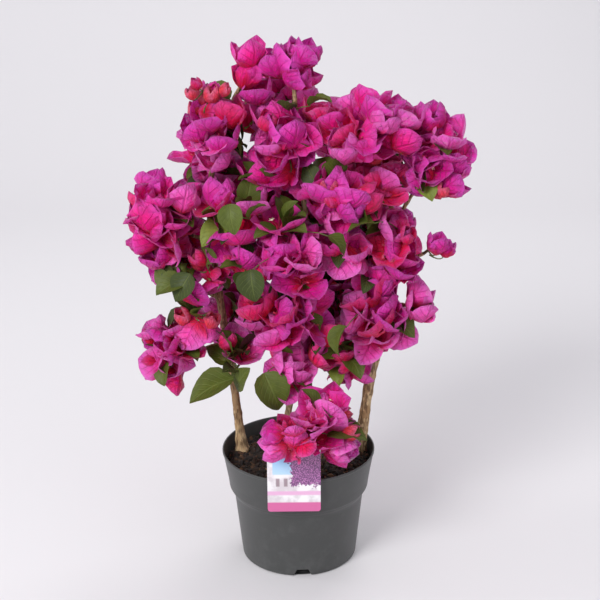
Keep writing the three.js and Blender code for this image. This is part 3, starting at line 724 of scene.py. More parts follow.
def blades(root, forward, outward, length, width, angles, cup, keel, wave, phase, twist, profile, thickness):
    """Many thin blades. A blade's midrib starts at its root and turns from one angle to another, measured
    from forward towards outward. Its cross-section is an arc that closes by cup, with a fold of keel at the
    midrib. Its edge waves by a sine along its length, more the further out, and a slower, slanting sine
    buckles the whole blade. Its half width along the midrib is profile. The two faces stand half the
    thickness off that surface and meet at the edge."""
    v = STATIONS
    u = np.linspace(-1, 1, BLADE_COLUMNS)
    theta = angles[0][:, None] + (angles[1] - angles[0])[:, None] * v[None]
    side = np.cross(forward, outward)
    cos, sin = np.cos(theta)[..., None], np.sin(theta)[..., None]
    along = cos * forward[:, None] + sin * outward[:, None]
    normal = cos * outward[:, None] - sin * forward[:, None]
    steps = (along[:, 1:] + along[:, :-1]) / 2 * (length[:, None] * np.diff(v)[None])[..., None]
    midrib = root[:, None] + np.concatenate([np.zeros_like(along[:, :1]), np.cumsum(steps, 1)], 1)
    turn = (twist[:, None] * v[None])[..., None]
    across = side[:, None] * np.cos(turn) - normal * np.sin(turn)
    normal = normal * np.cos(turn) + side[:, None] * np.sin(turn)
    half = (width[:, None] / 2 * profile(v)[None])[..., None]
    arc = cup[:, None, None] * u
    sideways = half * np.sin(arc) / cup[:, None, None]
    depth = -half * (1 - np.cos(arc)) / cup[:, None, None] - half * keel[:, None, None] * np.abs(u)
    ripple = np.sin(TAU * phase[:, 2, None, None] * v[None, :, None]
                    + np.where(u > 0, phase[:, 0, None, None], phase[:, 1, None, None]) * TAU)
    swelling = np.sin(np.pi * v)[None, :, None]
    depth = depth + wave[:, None, None] * np.abs(u) ** 2.2 * ripple * swelling**0.6
    slant = phase[:, 2, None, None] * 0.7 * v[None, :, None] + 0.5 * u + phase[:, 1, None, None]
    depth = depth + 0.45 * wave[:, None, None] * np.sin(TAU * slant) * swelling
    surface = midrib[:, :, None] + sideways[..., None] * across[:, :, None]
    surface = surface + depth[..., None] * normal[:, :, None]
    swell = thickness / 2 * np.sqrt(np.clip(1 - u**2, 0, 1))[None] * np.sin(np.pi * v)[:, None] ** 0.4
    lift = swell[None, ..., None] * normal[:, :, None]
    front = (surface + lift).reshape(len(root), -1, 3)
    back = (surface - lift)[:, 1:-1, 1:-1].reshape(len(root), -1, 3)
    return np.concatenate([front, back], 1)


def bract_profile(v):
    """Broadly egg-shaped, heart-shaped at the foot, with a short point."""
    return np.maximum(np.sin(np.pi * v**0.84) ** 0.5, [0.1] + [0.03] * (len(v) - 1))


def leaf_profile(v):
    """Egg-shaped, widest a third of the way up, with a long point."""
    return np.maximum(np.sin(np.pi * v**0.76) ** 0.82 * (1 - 0.22 * v**2), [0.07] + [0.02] * (len(v) - 1))


def blade_object(name, points, material):
    """Blades of one tint as one piece, each with the whole of the blade's map."""
    faces, uv = blade_template()
    stride = points.shape[1]
    piece = mesh_object(name, points.reshape(-1, 3), [repeat_faces(faces, len(points), stride)], [material],
                        uv=np.tile(uv, (len(points), 1)), sharp=70)
    return finish_piece(piece)


# ---------------------------------------------------------------- materials

def linear(colour):
    """A screen colour as linear light: the standard curve, a short straight part and then a 2.4 power."""
    c = np.asarray(colour, float)
    return tuple(np.where(c <= 0.04045, c / 12.92, ((c + 0.055) / 1.055) ** 2.4)) + (1.0,)


class Finish:
    """A material with one Principled shader, and short ways to add the nodes of its pattern."""

    def __init__(self, name, colour, roughness, **values):
        self.material = bpy.data.materials.new(name)
        self.material.use_nodes = True
        self.tree = self.material.node_tree
        self.shader = self.tree.nodes["Principled BSDF"]
        self.shader.inputs["Base Color"].default_value = linear(colour)
        self.shader.inputs["Roughness"].default_value = roughness
        for socket, value in values.items():
            self.shader.inputs[socket.replace("_", " ")].default_value = value

    def node(self, kind, inputs=None, **options):
        """A node with its options set and each input linked or given its value."""
        node = self.tree.nodes.new(kind)
        for key, value in options.items():
            setattr(node, key, value)
        for key, value in (inputs or {}).items():
            if isinstance(value, bpy.types.NodeSocket):
                self.tree.links.new(value, node.inputs[key])
            else:
                node.inputs[key].default_value = value
        return node

    def math(self, operation, a, b=0.0, c=0.0):
        """One calculation on up to three values."""
        return self.node("ShaderNodeMath", {0: a, 1: b, 2: c}, operation=operation).outputs[0]

    def step(self, low, high, value):
        """0 to 1 as value goes from low to high, smoothly; 1 to 0 where low is the larger."""
        ends = {"From Min": low, "From Max": high, "Value": value}
        return self.node("ShaderNodeMapRange", ends, interpolation_type="SMOOTHSTEP").outputs["Result"]

    def mix(self, factor, a, b):
        """Colour a where factor is 0, colour b where it is 1."""
        node = self.node("ShaderNodeMix", data_type="RGBA")
        for socket, value in ((node.inputs[0], factor), (node.inputs[6], a), (node.inputs[7], b)):
            if isinstance(value, bpy.types.NodeSocket):
                self.tree.links.new(value, socket)
            else:
                socket.default_value = value
        return node.outputs[2]

    def place(self, scale=(1, 1, 1)):
        """Object coordinates, in metres, stretched by scale."""
        where = self.node("ShaderNodeTexCoord").outputs["Object"]
        return self.node("ShaderNodeMapping", {"Vector": where, "Scale": scale}).outputs[0]

    def noise(self, vector, scale, detail=3.0, roughness=0.55):
        """Cloudy values from 0 to 1."""
        sizes = {"Vector": vector, "Scale": scale, "Detail": detail, "Roughness": roughness}
        return self.node("ShaderNodeTexNoise", sizes).outputs["Fac"]

    def colour(self, socket):
        """Link a pattern to the colour."""
        self.tree.links.new(socket, self.shader.inputs["Base Color"])

    def roughness(self, socket):
        """Link a pattern to the roughness."""
        self.tree.links.new(socket, self.shader.inputs["Roughness"])

    def bump(self, height, strength, distance):
        """Raise and sink the look of the surface by a pattern, at most distance metres."""
        heights = {"Height": height, "Strength": strength, "Distance": distance}
        self.tree.links.new(self.node("ShaderNodeBump", heights).outputs[0], self.shader.inputs["Normal"])

    def map_place(self):
        """The blade's own map: how far across from the midrib, 0 to 1 at the edge, and how far along."""
        where = self.node("ShaderNodeUVMap", uv_map=UV_MAP).outputs[0]
        parts = self.node("ShaderNodeSeparateXYZ", {0: where})
        across = self.math("ABSOLUTE", self.math("MULTIPLY_ADD", parts.outputs["X"], 2.0, -1.0))
        return where, across, parts.outputs["Y"]

    def veins(self, across, along, pairs, slant):
        """1 on the midrib and on pairs of side veins that climb by slant towards the edge, 0 between."""
        midrib = self.step(0.09, 0.015, across)
        climb = self.math("MULTIPLY_ADD", across, -slant, self.math("MULTIPLY", along, pairs))
        line = self.step(0.1, 0.02, self.math("PINGPONG", climb, 0.5))
        fade = self.math("MULTIPLY", line, self.step(1.0, 0.5, across))
        return self.math("MAXIMUM", midrib, fade)


def bract_finish(name, tint):
    """Papery bract: a redder foot, darker veins, and a paler edge and tip, partly their own colour, partly
    a painted highlight; painted shade in the creases that run up from the foot; on the blade's own map."""
    look = finishes()
    body, foot, edge = np.array(tint["body"]), np.array(tint["foot"]), np.array(tint["edge"])
    cloud_low, cloud_high = body * 0.92, np.minimum(body * 1.06, 1)
    finish = Finish(name, body, look.bract_roughness, Sheen_Weight=0.07, Sheen_Roughness=0.4,
                    Specular_IOR_Level=0.22, Subsurface_Weight=look.bract_glow, Subsurface_Scale=0.003)
    finish.shader.inputs["Subsurface Radius"].default_value = (1.0, 0.35, 0.7)
    where, across, along = finish.map_place()
    clouds = finish.noise(where, 4.0, 2.0)
    creased = finish.node("ShaderNodeMapping", {"Vector": where, "Scale": (15.0, 3.5, 1.0)}).outputs[0]
    creases = finish.noise(creased, 1.0, 3.0, 0.6)
    # The paler edge and tip are partly the bract's own colour and partly a painted highlight.
    side = finish.math("MULTIPLY", finish.step(0.25, 1.0, across), finish.step(0.15, 0.5, along))
    rim = finish.math("MAXIMUM", side, finish.step(0.55, 1.0, along))
    colour = finish.mix(finish.step(0.3, 0.75, clouds), linear(cloud_low), linear(cloud_high))
    colour = finish.mix(rim, colour, linear(edge))
    reach = finish.math("MULTIPLY_ADD", clouds, 0.2, along)
    colour = finish.mix(finish.step(0.62, 0.12, reach), colour, linear(foot))
    veins = finish.veins(across, along, 5.0, 1.6)
    # Darker along the veins, which is their own colour, and in the valleys of the creases, which is painted
    # shade.
    dark = finish.math("MAXIMUM", finish.math("MULTIPLY", veins, 0.45),
                       finish.math("MULTIPLY", finish.step(0.44, 0.3, creases), 0.25))
    colour = finish.mix(dark, colour, linear(body * [0.82, 0.5, 0.66]))
    finish.colour(colour)
    finish.bump(finish.math("MULTIPLY_ADD", creases, 1.8, finish.math("MULTIPLY", veins, -0.7)), 0.85, 0.0016)
    return finish.material


def leaf_finish(name, body, vein):
    """Leaf with a low sheen: a pale midrib and side veins that climb to the edge, sunk a little."""
    look = finishes()
    finish = Finish(name, body, look.leaf_roughness, Specular_IOR_Level=0.28)
    where, across, along = finish.map_place()
    veins = finish.veins(across, along, 7.0, 2.4)
    clouds = finish.noise(where, 4.0, 3.0)
    colour = finish.mix(clouds, linear(np.array(body) * 0.8), linear(np.array(body) * 1.25))
    colour = finish.mix(finish.math("MULTIPLY", veins, 0.3), colour, linear(vein))
    finish.colour(colour)
    finish.bump(finish.math("MULTIPLY", veins, -1.0), 0.6, 0.0006)
    return finish.material


def bark_finish(name, body, pale, dark, grain):
    """Bark: long streaks, dark cracks and pale corky spots, on object coordinates stretched upwards."""
    finish = Finish(name, body, 0.78)
    streaks = finish.noise(finish.place((1, 1, 0.16)), 420.0 * grain, 5.0, 0.6)
    patches = finish.noise(finish.place((1, 1, 0.5)), 70.0 * grain, 3.0)
    spotted = finish.place((1, 1, 0.55))
    spots = finish.node("ShaderNodeTexVoronoi", {"Vector": spotted, "Scale": 210.0 * grain})
    spot = finish.step(0.34, 0.2, spots.outputs["Distance"])
    colour = finish.mix(finish.step(0.35, 0.7, patches), linear(body), linear(pale))
    colour = finish.mix(finish.math("MULTIPLY", finish.step(0.56, 0.4, streaks), 0.75), colour, linear(dark))
    colour = finish.mix(finish.math("MULTIPLY", spot, 0.55), colour, linear(np.array(pale) * 1.12))
    finish.colour(colour)
    finish.bump(finish.math("ADD", streaks, finish.math("MULTIPLY", spot, 0.3)), 0.7, 0.0012)
    return finish.material


def plastic_finish(name, body):
    """Moulded plastic: a faint fine grain, scuffs that are duller and paler, and dust low on the wall."""
    finish = Finish(name, body, 0.42, Specular_IOR_Level=0.5)
    scuffs = finish.noise(finish.place(), 60.0, 6.0, 0.7)
    grain = finish.noise(finish.place(), 900.0, 2.0)
    height = finish.node("ShaderNodeSeparateXYZ", {0: finish.place()}).outputs["Z"]
    dust = finish.math("MULTIPLY", finish.step(0.05, 0.0, height), finish.step(0.35, 0.75, scuffs))
    body = np.array(body)
    colour = finish.mix(finish.step(0.45, 0.8, scuffs), linear(body), linear(body * 1.12 + 0.01))
    colour = finish.mix(finish.math("MULTIPLY", dust, 0.5), colour, linear(body * 0.8 + 0.14))
    finish.colour(colour)
    finish.roughness(finish.math("MULTIPLY_ADD", scuffs, 0.2, 0.33))
    finish.bump(grain, 0.12, 0.0003)
    return finish.material


def soil_finish(name, body):
    """Moist peat: dark, with browner lumps."""
    finish = Finish(name, body, 0.9)
    body = np.array(body)
    lumps = finish.noise(finish.place(), 140.0, 5.0, 0.65)
    colour = finish.mix(finish.step(0.4, 0.75, lumps), linear(body * 0.6), linear(body * 1.5))
    finish.colour(colour)
    finish.bump(lumps, 0.8, 0.003)
    return finish.material


# ---------------------------------------------------------------- settings a user would change

def length_property(name, description, default):
    """A length in millimetres."""
    return FloatProperty(name=name, description=description, default=default, min=0.1, soft_max=200.0)


def share_property(name, description, default):
    """A share or a factor."""
    return FloatProperty(name=name, description=description, default=default, min=0.0, soft_max=3.0,
                         subtype="FACTOR")


def colour_property(name, description, default):
    """A screen colour."""
    return FloatVectorProperty(name=name, description=description, default=default, size=3, min=0, max=1,
                               subtype="COLOR_GAMMA")


class BushSettings(bpy.types.PropertyGroup):
    """Sizes and counts of the finer growth, in millimetres where they are lengths."""

    fine_heads: share_property("Fine heads", "Finer flower heads for each large one", 0.72)
    fine_head: share_property("Fine head size", "Size of a finer head against a large one", 0.86)
    fine_leaves: share_property("Fine leaves", "Finer leaves for each large one", 1.05)
    fine_attempts: IntProperty(name="Attempts", description="Places tried for the finer sprays",
                               default=360, min=1)
    fine_packing: share_property("Fine packing", "How close the finer sprays may crowd", 0.42)
    ease: length_property("Ease", "How far finer sprays may leave their space, in millimetres", 4.0)
    leaf_longest: length_property("Longest leaf", "Longest finer leaf with its stalk, in millimetres", 52.0)
    leaf_shortest: length_property("Shortest leaf", "Shortest finer leaf with its stalk, in millimetres",
                                   24.0)
    bract_length: length_property("Bract length", "Length of a full bract, in millimetres", 50.0)
    bract_width: length_property("Bract width", "Width of a full bract, in millimetres", 49.0)
    flower_length: length_property("Flower length", "Length of a tube flower, in millimetres", 19.0)
    young_share: share_property("Young heads", "Share of the finer heads that are still closed buds", 0.15)


class FinishSettings(bpy.types.PropertyGroup):
    """Colours and finishes, as screen colours."""

    magenta: colour_property("Magenta bracts", "Most bracts", (0.89, 0.05, 0.49))
    pink: colour_property("Pink bracts", "Older, paler bracts", (0.95, 0.28, 0.66))
    violet: colour_property("Violet bracts", "Cooler bracts", (0.82, 0.08, 0.54))
    crimson: colour_property("Crimson bracts", "Redder bracts", (0.88, 0.03, 0.32))
    coral: colour_property("Coral buds", "Young closed heads", (0.94, 0.22, 0.3))
    bract_foot: colour_property("Bract foot", "The redder foot of every bract", (0.86, 0.03, 0.2))
    bract_roughness: share_property("Bract roughness", "Roughness of bracts", 0.5)
    bract_glow: share_property("Bract glow", "Light that passes through bracts", 0.35)
    leaf_dark: colour_property("Old leaves", "Dark leaves", (0.21, 0.25, 0.1))
    leaf_mid: colour_property("Leaves", "Most leaves", (0.3, 0.34, 0.12))
    leaf_young: colour_property("Young leaves", "Fresh leaves", (0.42, 0.47, 0.18))
    leaf_vein: colour_property("Leaf veins", "Midrib and side veins", (0.46, 0.5, 0.25))
    leaf_roughness: share_property("Leaf roughness", "Roughness of leaves", 0.52)
    twig_green: colour_property("Green twigs", "Young twigs and stalks", (0.36, 0.4, 0.18))
    twig_brown: colour_property("Brown twigs", "Twigs that have turned to wood", (0.34, 0.25, 0.15))
    bark: colour_property("Bark", "Bark of the stems", (0.66, 0.52, 0.36))
    bark_pale: colour_property("Pale bark", "Corky spots and patches", (0.8, 0.7, 0.54))
    bark_dark: colour_property("Dark bark", "Cracks", (0.33, 0.23, 0.14))
    pot: colour_property("Pot", "Plastic of the pot", (0.255, 0.26, 0.257))
    soil: colour_property("Soil", "Moist peat", (0.14, 0.095, 0.065))


class StageSettings(bpy.types.PropertyGroup):
    """Camera and floor."""

    camera_distance: FloatProperty(name="Distance", description="How far in front of the pot the camera is",
                                   default=1.2, unit="LENGTH")
    camera_height: FloatProperty(name="Height", description="Height of the camera",
                                 default=0.715, unit="LENGTH")
    camera_pitch: FloatProperty(name="Pitch", description="How far the camera looks down",
                                default=math.radians(19.05), subtype="ANGLE")
    camera_yaw: FloatProperty(name="Yaw", description="How far the camera turns right",
                              default=math.radians(0.15), subtype="ANGLE")
    camera_roll: FloatProperty(name="Roll", description="How far the camera leans left",
                               default=math.radians(0.48), subtype="ANGLE")
    lens: FloatProperty(name="Lens", description="Focal length on a 36 mm sensor",
                        default=70.98, unit="CAMERA")
    floor: colour_property("Floor", "Floor and backdrop", (0.89, 0.882, 0.888))


def settings():
    """The sizes and counts in use."""
    return bpy.context.scene.bush_settings


def finishes():
    """The colours and finishes in use."""
    return bpy.context.scene.finish_settings


def staging():
    """The camera and floor settings in use."""
    return bpy.context.scene.stage_settings


# ---------------------------------------------------------------- stems and boughs

STEM_RINGS = 220
STEM_SIDES = 36
BOUGH_RINGS = 40
BOUGH_SIDES = 12


def relief(angle, height, seed, waves, roughness):
    """Rolling relief round a limb: a sum of sines, each with a whole number of waves round the limb."""
    draw = np.random.RandomState(seed)
    total = np.zeros(np.broadcast(angle, height).shape)
    for k in range(waves):
        around = draw.randint(0, 7)
        along = draw.uniform(0.03, 0.5) * (1 + k / 3)
        total += np.sin(around * angle + along * height + draw.uniform(0, TAU)) / (1 + k) ** roughness
    return total


def knots(height, every, seed):
    """Swollen leaf scars: a narrow bell at about every so many millimetres."""
    draw = np.random.RandomState(seed)
    total = np.zeros_like(height)
    for at in np.arange(every * 0.6, height.max(), every):
        total += np.exp(-(((height - at - draw.uniform(-0.25, 0.25) * every) / 3.2) ** 2))
    return total


def stem_tube(name, seed):
    """A stem whose radius is its taper and flare, swollen at knots, creased by bark, with a ribbed foot."""
    path = grow_plant()["limbs"][name]
    shares = np.linspace(0, 1, STEM_RINGS)
    height = shares * path.length
    angle = TAU * np.arange(STEM_SIDES) / STEM_SIDES
    radius = stem_radius(STEMS[name], shares)[:, None]
    grain = 1 + 0.05 * relief(angle[None], height[:, None] * 0.5, seed, 9, 0.8)
    swell = 1 + 0.1 * knots(height, 34, seed)[:, None]
    buttress = 1 + 0.1 * np.exp(-height / 9)[:, None] * np.cos(4 * angle + seed)[None]
    points, quads, fans = tubes(path.at(shares)[None], (radius * grain * swell * buttress)[None], STEM_SIDES)
    points[:STEM_SIDES, 2] = SOIL_TOP + GAP
    return points, quads, fans


def build_stems():
    """The three stems as one piece."""
    look = finishes()
    parts = [stem_tube(name, SEEDS["stems"] + k) for k, name in enumerate(STEMS)]
    points, quads, fans = stack(parts)
    bark = bark_finish("stem_bark", look.bark, look.bark_pale, look.bark_dark, 1.0)
    piece = mesh_object("woody_stems", points, [quads, fans], [bark])
    finish_piece(piece, list(STEMS))


def build_boughs():
    """Each bough is a tube along its bend: a straight taper, swollen at knots, with a finer relief."""
    look = finishes()
    masses = [mass for mass in grow_plant()["masses"] if mass.bough]
    shares = np.linspace(0, 1, BOUGH_RINGS)
    paths = np.stack([mass.bough.at(shares) for mass in masses])
    angle = TAU * np.arange(BOUGH_SIDES) / BOUGH_SIDES
    radii = []
    for k, mass in enumerate(masses):
        height = shares * mass.bough.length
        taper = BOUGH["foot"] + (BOUGH["tip"] - BOUGH["foot"]) * shares
        swell = 1 + 0.16 * knots(height, 24, SEEDS["knots"] + k)
        grain = 1 + 0.05 * relief(angle[None], height[:, None], SEEDS["boughs"] + k, 6, 0.8)
        radii.append((taper * swell)[:, None] * grain)
    points, quads, fans = tubes(paths, np.stack(radii), BOUGH_SIDES)
    bark = bark_finish("bough_bark", np.array(look.bark) * 0.82, look.bark_pale, look.bark_dark, 1.6)
    piece = mesh_object("boughs", points, [quads, fans], [bark])
    finish_piece(piece, ["bough_" + mass.name for mass in masses])


# ---------------------------------------------------------------- twigs, leaves, bracts and flowers

def hides_a_leaf(head):
    """Whether a head sits on, or in front of, one of the broad leaves that show."""
    middle = head["root"] + HEAD["length"] * HEAD_MIDDLE * head["scale"] * head["axis"]
    for root, tip, _ in SHOWN_LEAVES:
        away = middle - nearest_on(np.array([root, tip], float), middle)
        away[1] = max(away[1], 0) + 0.35 * min(away[1], 0)
        if np.linalg.norm(away) < LEAF_ROOM:
            return True
    return False


def sprays(kind):
    """Every spray of a kind, with the mass that bears it."""
    plant = grow_plant()
    found = [(mass, spray) for mass in plant["masses"] + plant["tufts"] for spray in mass.sprays[kind]]
    return [pair for pair in found if kind == "leaves" or not hides_a_leaf(pair[1])]


def shown_leaves():
    """The broad leaves, each borne by the nearest mass."""
    shown = []
    for root, tip, width in SHOWN_LEAVES:
        root, tip = np.array(root, float), np.array(tip, float)
        mass = min(grow_plant()["masses"], key=lambda other: np.linalg.norm(other.centre - root))
        leaf = {"root": root, "tip": tip, "turn": 0.0, "width": width, "start": mass.nearest_twig(root)}
        shown.append((mass, leaf))
    return shown


def build_twigs():
    """The stem of each mass, a twig to each head and a stalk to each leaf, each a bent tapering tube."""
    look = finishes()
    masses = grow_plant()["masses"]
    stems = np.array([mass.stem for mass in masses])
    run = stems[:, 1] - stems[:, 0]
    bow = perpendicular(unit(run), np.arange(len(masses)) * 2.4) * np.linalg.norm(run, axis=1)[:, None] * 0.06
    stem_paths = bends(stems[:, 0], stems[:, 0] + run / 2 + bow, stems[:, 1] - 0.2 * run, 9)
    thick = TWIG["stem"] + (TWIG["stem_tip"] - TWIG["stem"]) * np.linspace(0, 1, 9)
    brown = tubes(stem_paths, np.repeat(thick[None], len(masses), 0), 7)

    start = np.array([spray["start"] for _, spray in sprays("heads")])
    heads = head_table()
    root, axis = heads["root"], heads["axis"]
    span = np.linalg.norm(root - start, axis=1)[:, None]
    twig_paths = bends(start, root - axis * span * 0.4, root + axis * 2.5, 6)
    thin = np.array([1.05, 0.95, 0.85, 0.78, 0.74, 0.7])
    scale = heads["scale"][:, None]
    green = tubes(twig_paths, thin[None] * (0.6 + 0.4 * scale), 5)

    leaves = [spray for _, spray in clear_leaves()]
    start = np.array([spray["start"] for spray in leaves])
    root = np.array([spray["root"] for spray in leaves])
    tip = np.array([spray["tip"] for spray in leaves])
    foot = root + STALK_SHARE * (tip - root)
    sag = np.linalg.norm(foot - start, axis=1)[:, None] * np.array([0, 0, 0.18])
    stalks = tubes(bends(start, (start + foot) / 2 + sag, foot + 0.04 * (tip - root), 5),
                   np.repeat([[0.8, 0.62, 0.55, 0.55, 0.5]], len(leaves), 0), 5)

    tones = [("twig_wood", look.twig_brown, 0.7), ("twig_green", look.twig_green, 0.55)]
    materials = [Finish(*tone).material for tone in tones]
    points, quads, fans = stack([brown, green, stalks])
    counts = [len(brown[1]), len(green[1]) + len(stalks[1]), len(brown[2]), len(green[2]) + len(stalks[2])]
    piece = mesh_object("twigs", points, [quads, fans], materials, slots=np.repeat([0, 1, 0, 1], counts))
    finish_piece(piece, ["foliage_" + mass.name for mass in masses])


def clear_leaves():
    """The leaves that no flower head swallows: the outer half of each stays outside every head."""
    if "leaves" not in grown:
        heads = head_table()
        arm = settings().bract_length * HEAD_MIDDLE * heads["scale"][:, None]
        middle = heads["root"] + arm * heads["axis"]
        radius = (12 + 7 * heads["opening"]) * heads["scale"]
        found = sprays("leaves")
        root = np.array([spray["root"] for _, spray in found])
        tip = np.array([spray["tip"] for _, spray in found])
        keep = np.ones(len(found), bool)
        for share in (0.7, 0.85, 1.0):
            at = root + (tip - root) * share
            keep &= (np.linalg.norm(at[:, None] - middle[None], axis=2) > radius).all(1)
        for x, z, reach in LEAFLESS:
            keep &= np.hypot(tip[:, 0] - x, tip[:, 2] - z) > reach
        grown["leaves"] = shown_leaves() + [pair for pair, kept in zip(found, keep) if kept]
    return grown["leaves"]


def build_leaves():
    """Leaves fold a little along the midrib, arch over along it and roll from leaf to leaf."""
    look = finishes()
    found = clear_leaves()
    root = np.array([spray["root"] for _, spray in found])
    tip = np.array([spray["tip"] for _, spray in found])
    turn = np.array([spray["turn"] for _, spray in found])
    centre = np.array([mass.centre for mass, _ in found])
    count = len(found)
    draw = np.random.RandomState(SEEDS["leaves"])
    axis = unit(tip - root)
    over = UP * 0.9 + unit(tip - centre) * 0.7 + draw.normal(0, 0.25, (count, 3))
    face = unit(over - (over * axis).sum(1, keepdims=True) * axis)
    roll = (turn * 1.2)[:, None]
    face = face * np.cos(roll) + np.cross(axis, face) * np.sin(roll)
    arch = draw.uniform(0.25, 0.75, count)
    reach = np.linalg.norm(tip - root, axis=1) * (1 - STALK_SHARE)
    length = reach * (1 + arch**2 / 20)
    width = np.minimum(np.array([spray["width"] for _, spray in found]), length * 0.76)
    width = width * draw.uniform(0.95, 1.2, count)
    phase = np.stack([draw.rand(count), draw.rand(count), draw.uniform(1.2, 2.4, count)], 1)
    cup = draw.uniform(0.15, 0.5, count)
    keel = draw.uniform(0.1, 0.4, count)
    wave = draw.uniform(0.4, 1.5, count)
    twist = draw.uniform(-0.3, 0.3, count)
    points = blades(root + STALK_SHARE * (tip - root), axis, -face, length, width, (-arch, arch), cup, keel,
                    wave, phase, twist, leaf_profile, 0.7)
    shade = draw.rand(count)
    shade[: len(SHOWN_LEAVES)] *= 0.8
    dark, young = shade < 0.34, shade >= 0.88
    tones = [("leaves_dark", look.leaf_dark, dark), ("leaves_mid", look.leaf_mid, ~dark & ~young),
             ("leaves_young", look.leaf_young, young)]
    for name, colour, chosen in tones:
        blade_object(name, points[chosen], leaf_finish(name, colour, look.leaf_vein))


def head_table():
    """Each head's own looks: how far it is raised, how open it is, how large, and its tint.
    A head turns up about its own middle. Finer heads may be closed young ones."""
    found = sprays("heads")
    draw = np.random.RandomState(SEEDS["heads"])
    count = len(found)
    keys = ("root", "axis", "turn", "scale", "fine")
    values = {key: np.array([spray[key] for _, spray in found]) for key in keys}
    middle = values["root"] + HEAD["length"] * HEAD_MIDDLE * values["scale"][:, None] * values["axis"]
    young = values["fine"] & (draw.rand(count) < settings().young_share)
    for at, radius in YOUNG:
        young |= np.linalg.norm(middle - at, axis=1) < radius
    lift = draw.uniform(0.1, 1.1, (count, 1))
    lantern = np.array([mass.name in LANTERNS for mass, _ in found])
    young &= ~lantern
    lift = np.where(lantern[:, None], LANTERN_LIFT, lift)
    middle = middle + lantern[:, None] * UP * LANTERN_RISE
    axis = unit(values["axis"] + lift * UP + draw.normal(0, 0.3, (count, 3)))
    wide_open = draw.rand(count) < 0.3
    opening = np.where(wide_open, draw.uniform(0.5, 0.95, count), draw.beta(1.4, 2.4, count) * 0.75)
    opening = np.where(lantern, draw.uniform(0.05, 0.28, count), opening)
    opening = np.where(young, draw.uniform(0, 0.06, count), opening)
    slim = np.array([SLIM.get(mass.name, 1.0) for mass, _ in found])
    scale = values["scale"] * slim * np.where(young, 0.66, 1 - 0.14 * opening)
    arm = settings().bract_length * HEAD_MIDDLE * scale[:, None]
    low = middle[:, 2] < LOW_HEADS
    tint = np.where(low, draw.choice(4, count, p=LOW_TINTS), draw.choice(4, count, p=HIGH_TINTS))
    tint = np.where(lantern & (tint == CRIMSON), VIOLET, tint)
    tint = np.where(young, np.where(draw.rand(count) < 0.6, CORAL, CRIMSON), tint)
    return {"root": middle - arm * axis, "axis": axis, "turn": values["turn"], "scale": scale,
            "opening": opening, "tint": tint, "young": young}


def build_bracts():
    """Three bracts stand round each head: they belly out from the foot and close over, or open out flat."""
    look = finishes()
    sizes = settings()
    heads = head_table()
    draw = np.random.RandomState(SEEDS["bracts"])
    count = len(heads["turn"]) * 3
    each = {key: np.repeat(value, 3, 0) for key, value in heads.items()}
    third = np.tile(np.arange(3), len(heads["turn"]))
    out = perpendicular(each["axis"], each["turn"] + TAU / 3 * third + draw.normal(0, 0.13, count))
    opening = np.clip(each["opening"] + draw.normal(0, 0.11, count) * ~each["young"], 0, 1)
    length = sizes.bract_length * each["scale"] * draw.uniform(0.92, 1.08, count) * (1 - 0.1 * opening)
    width = sizes.bract_width * each["scale"] * draw.uniform(0.9, 1.1, count)
    width = width * np.where(each["young"], 0.8, 1)
    foot = 1.22 + 0.12 * opening + draw.normal(0, 0.06, count)
    tip = -0.85 + 1.95 * opening + draw.normal(0, 0.16, count) * ~each["young"]
    wave = draw.uniform(1.4, 4.2, count) * each["scale"] * np.where(each["young"], 0.3, 1)
    phase = np.stack([draw.rand(count), draw.rand(count), draw.uniform(1.3, 2.9, count)], 1)
    cup = np.where(each["young"], 1.1, 0.85 - 0.45 * opening + draw.uniform(-0.15, 0.2, count))
    keel = draw.uniform(0.04, 0.3, count)
    twist = draw.normal(0, 0.16, count)
    points = blades(each["root"] + 0.8 * out, each["axis"], out, length, width, (foot, tip), cup, keel,
                    wave, phase, twist, bract_profile, 0.45)
    for k, name in enumerate(TINTS):
        body = np.array(getattr(look, name))
        foot_colour = look.bract_foot if name != "coral" else look.crimson
        # The edge tint, paler and greyer than the body, is partly the bract's own colour and partly a painted
        # highlight.
        tint = {"body": body, "foot": foot_colour, "edge": body * 0.7 + np.array([0.27, 0.2, 0.3])}
        finish = bract_finish("bract_" + name, tint)
        blade_object("bracts_" + name, points[each["tint"] == k], finish)


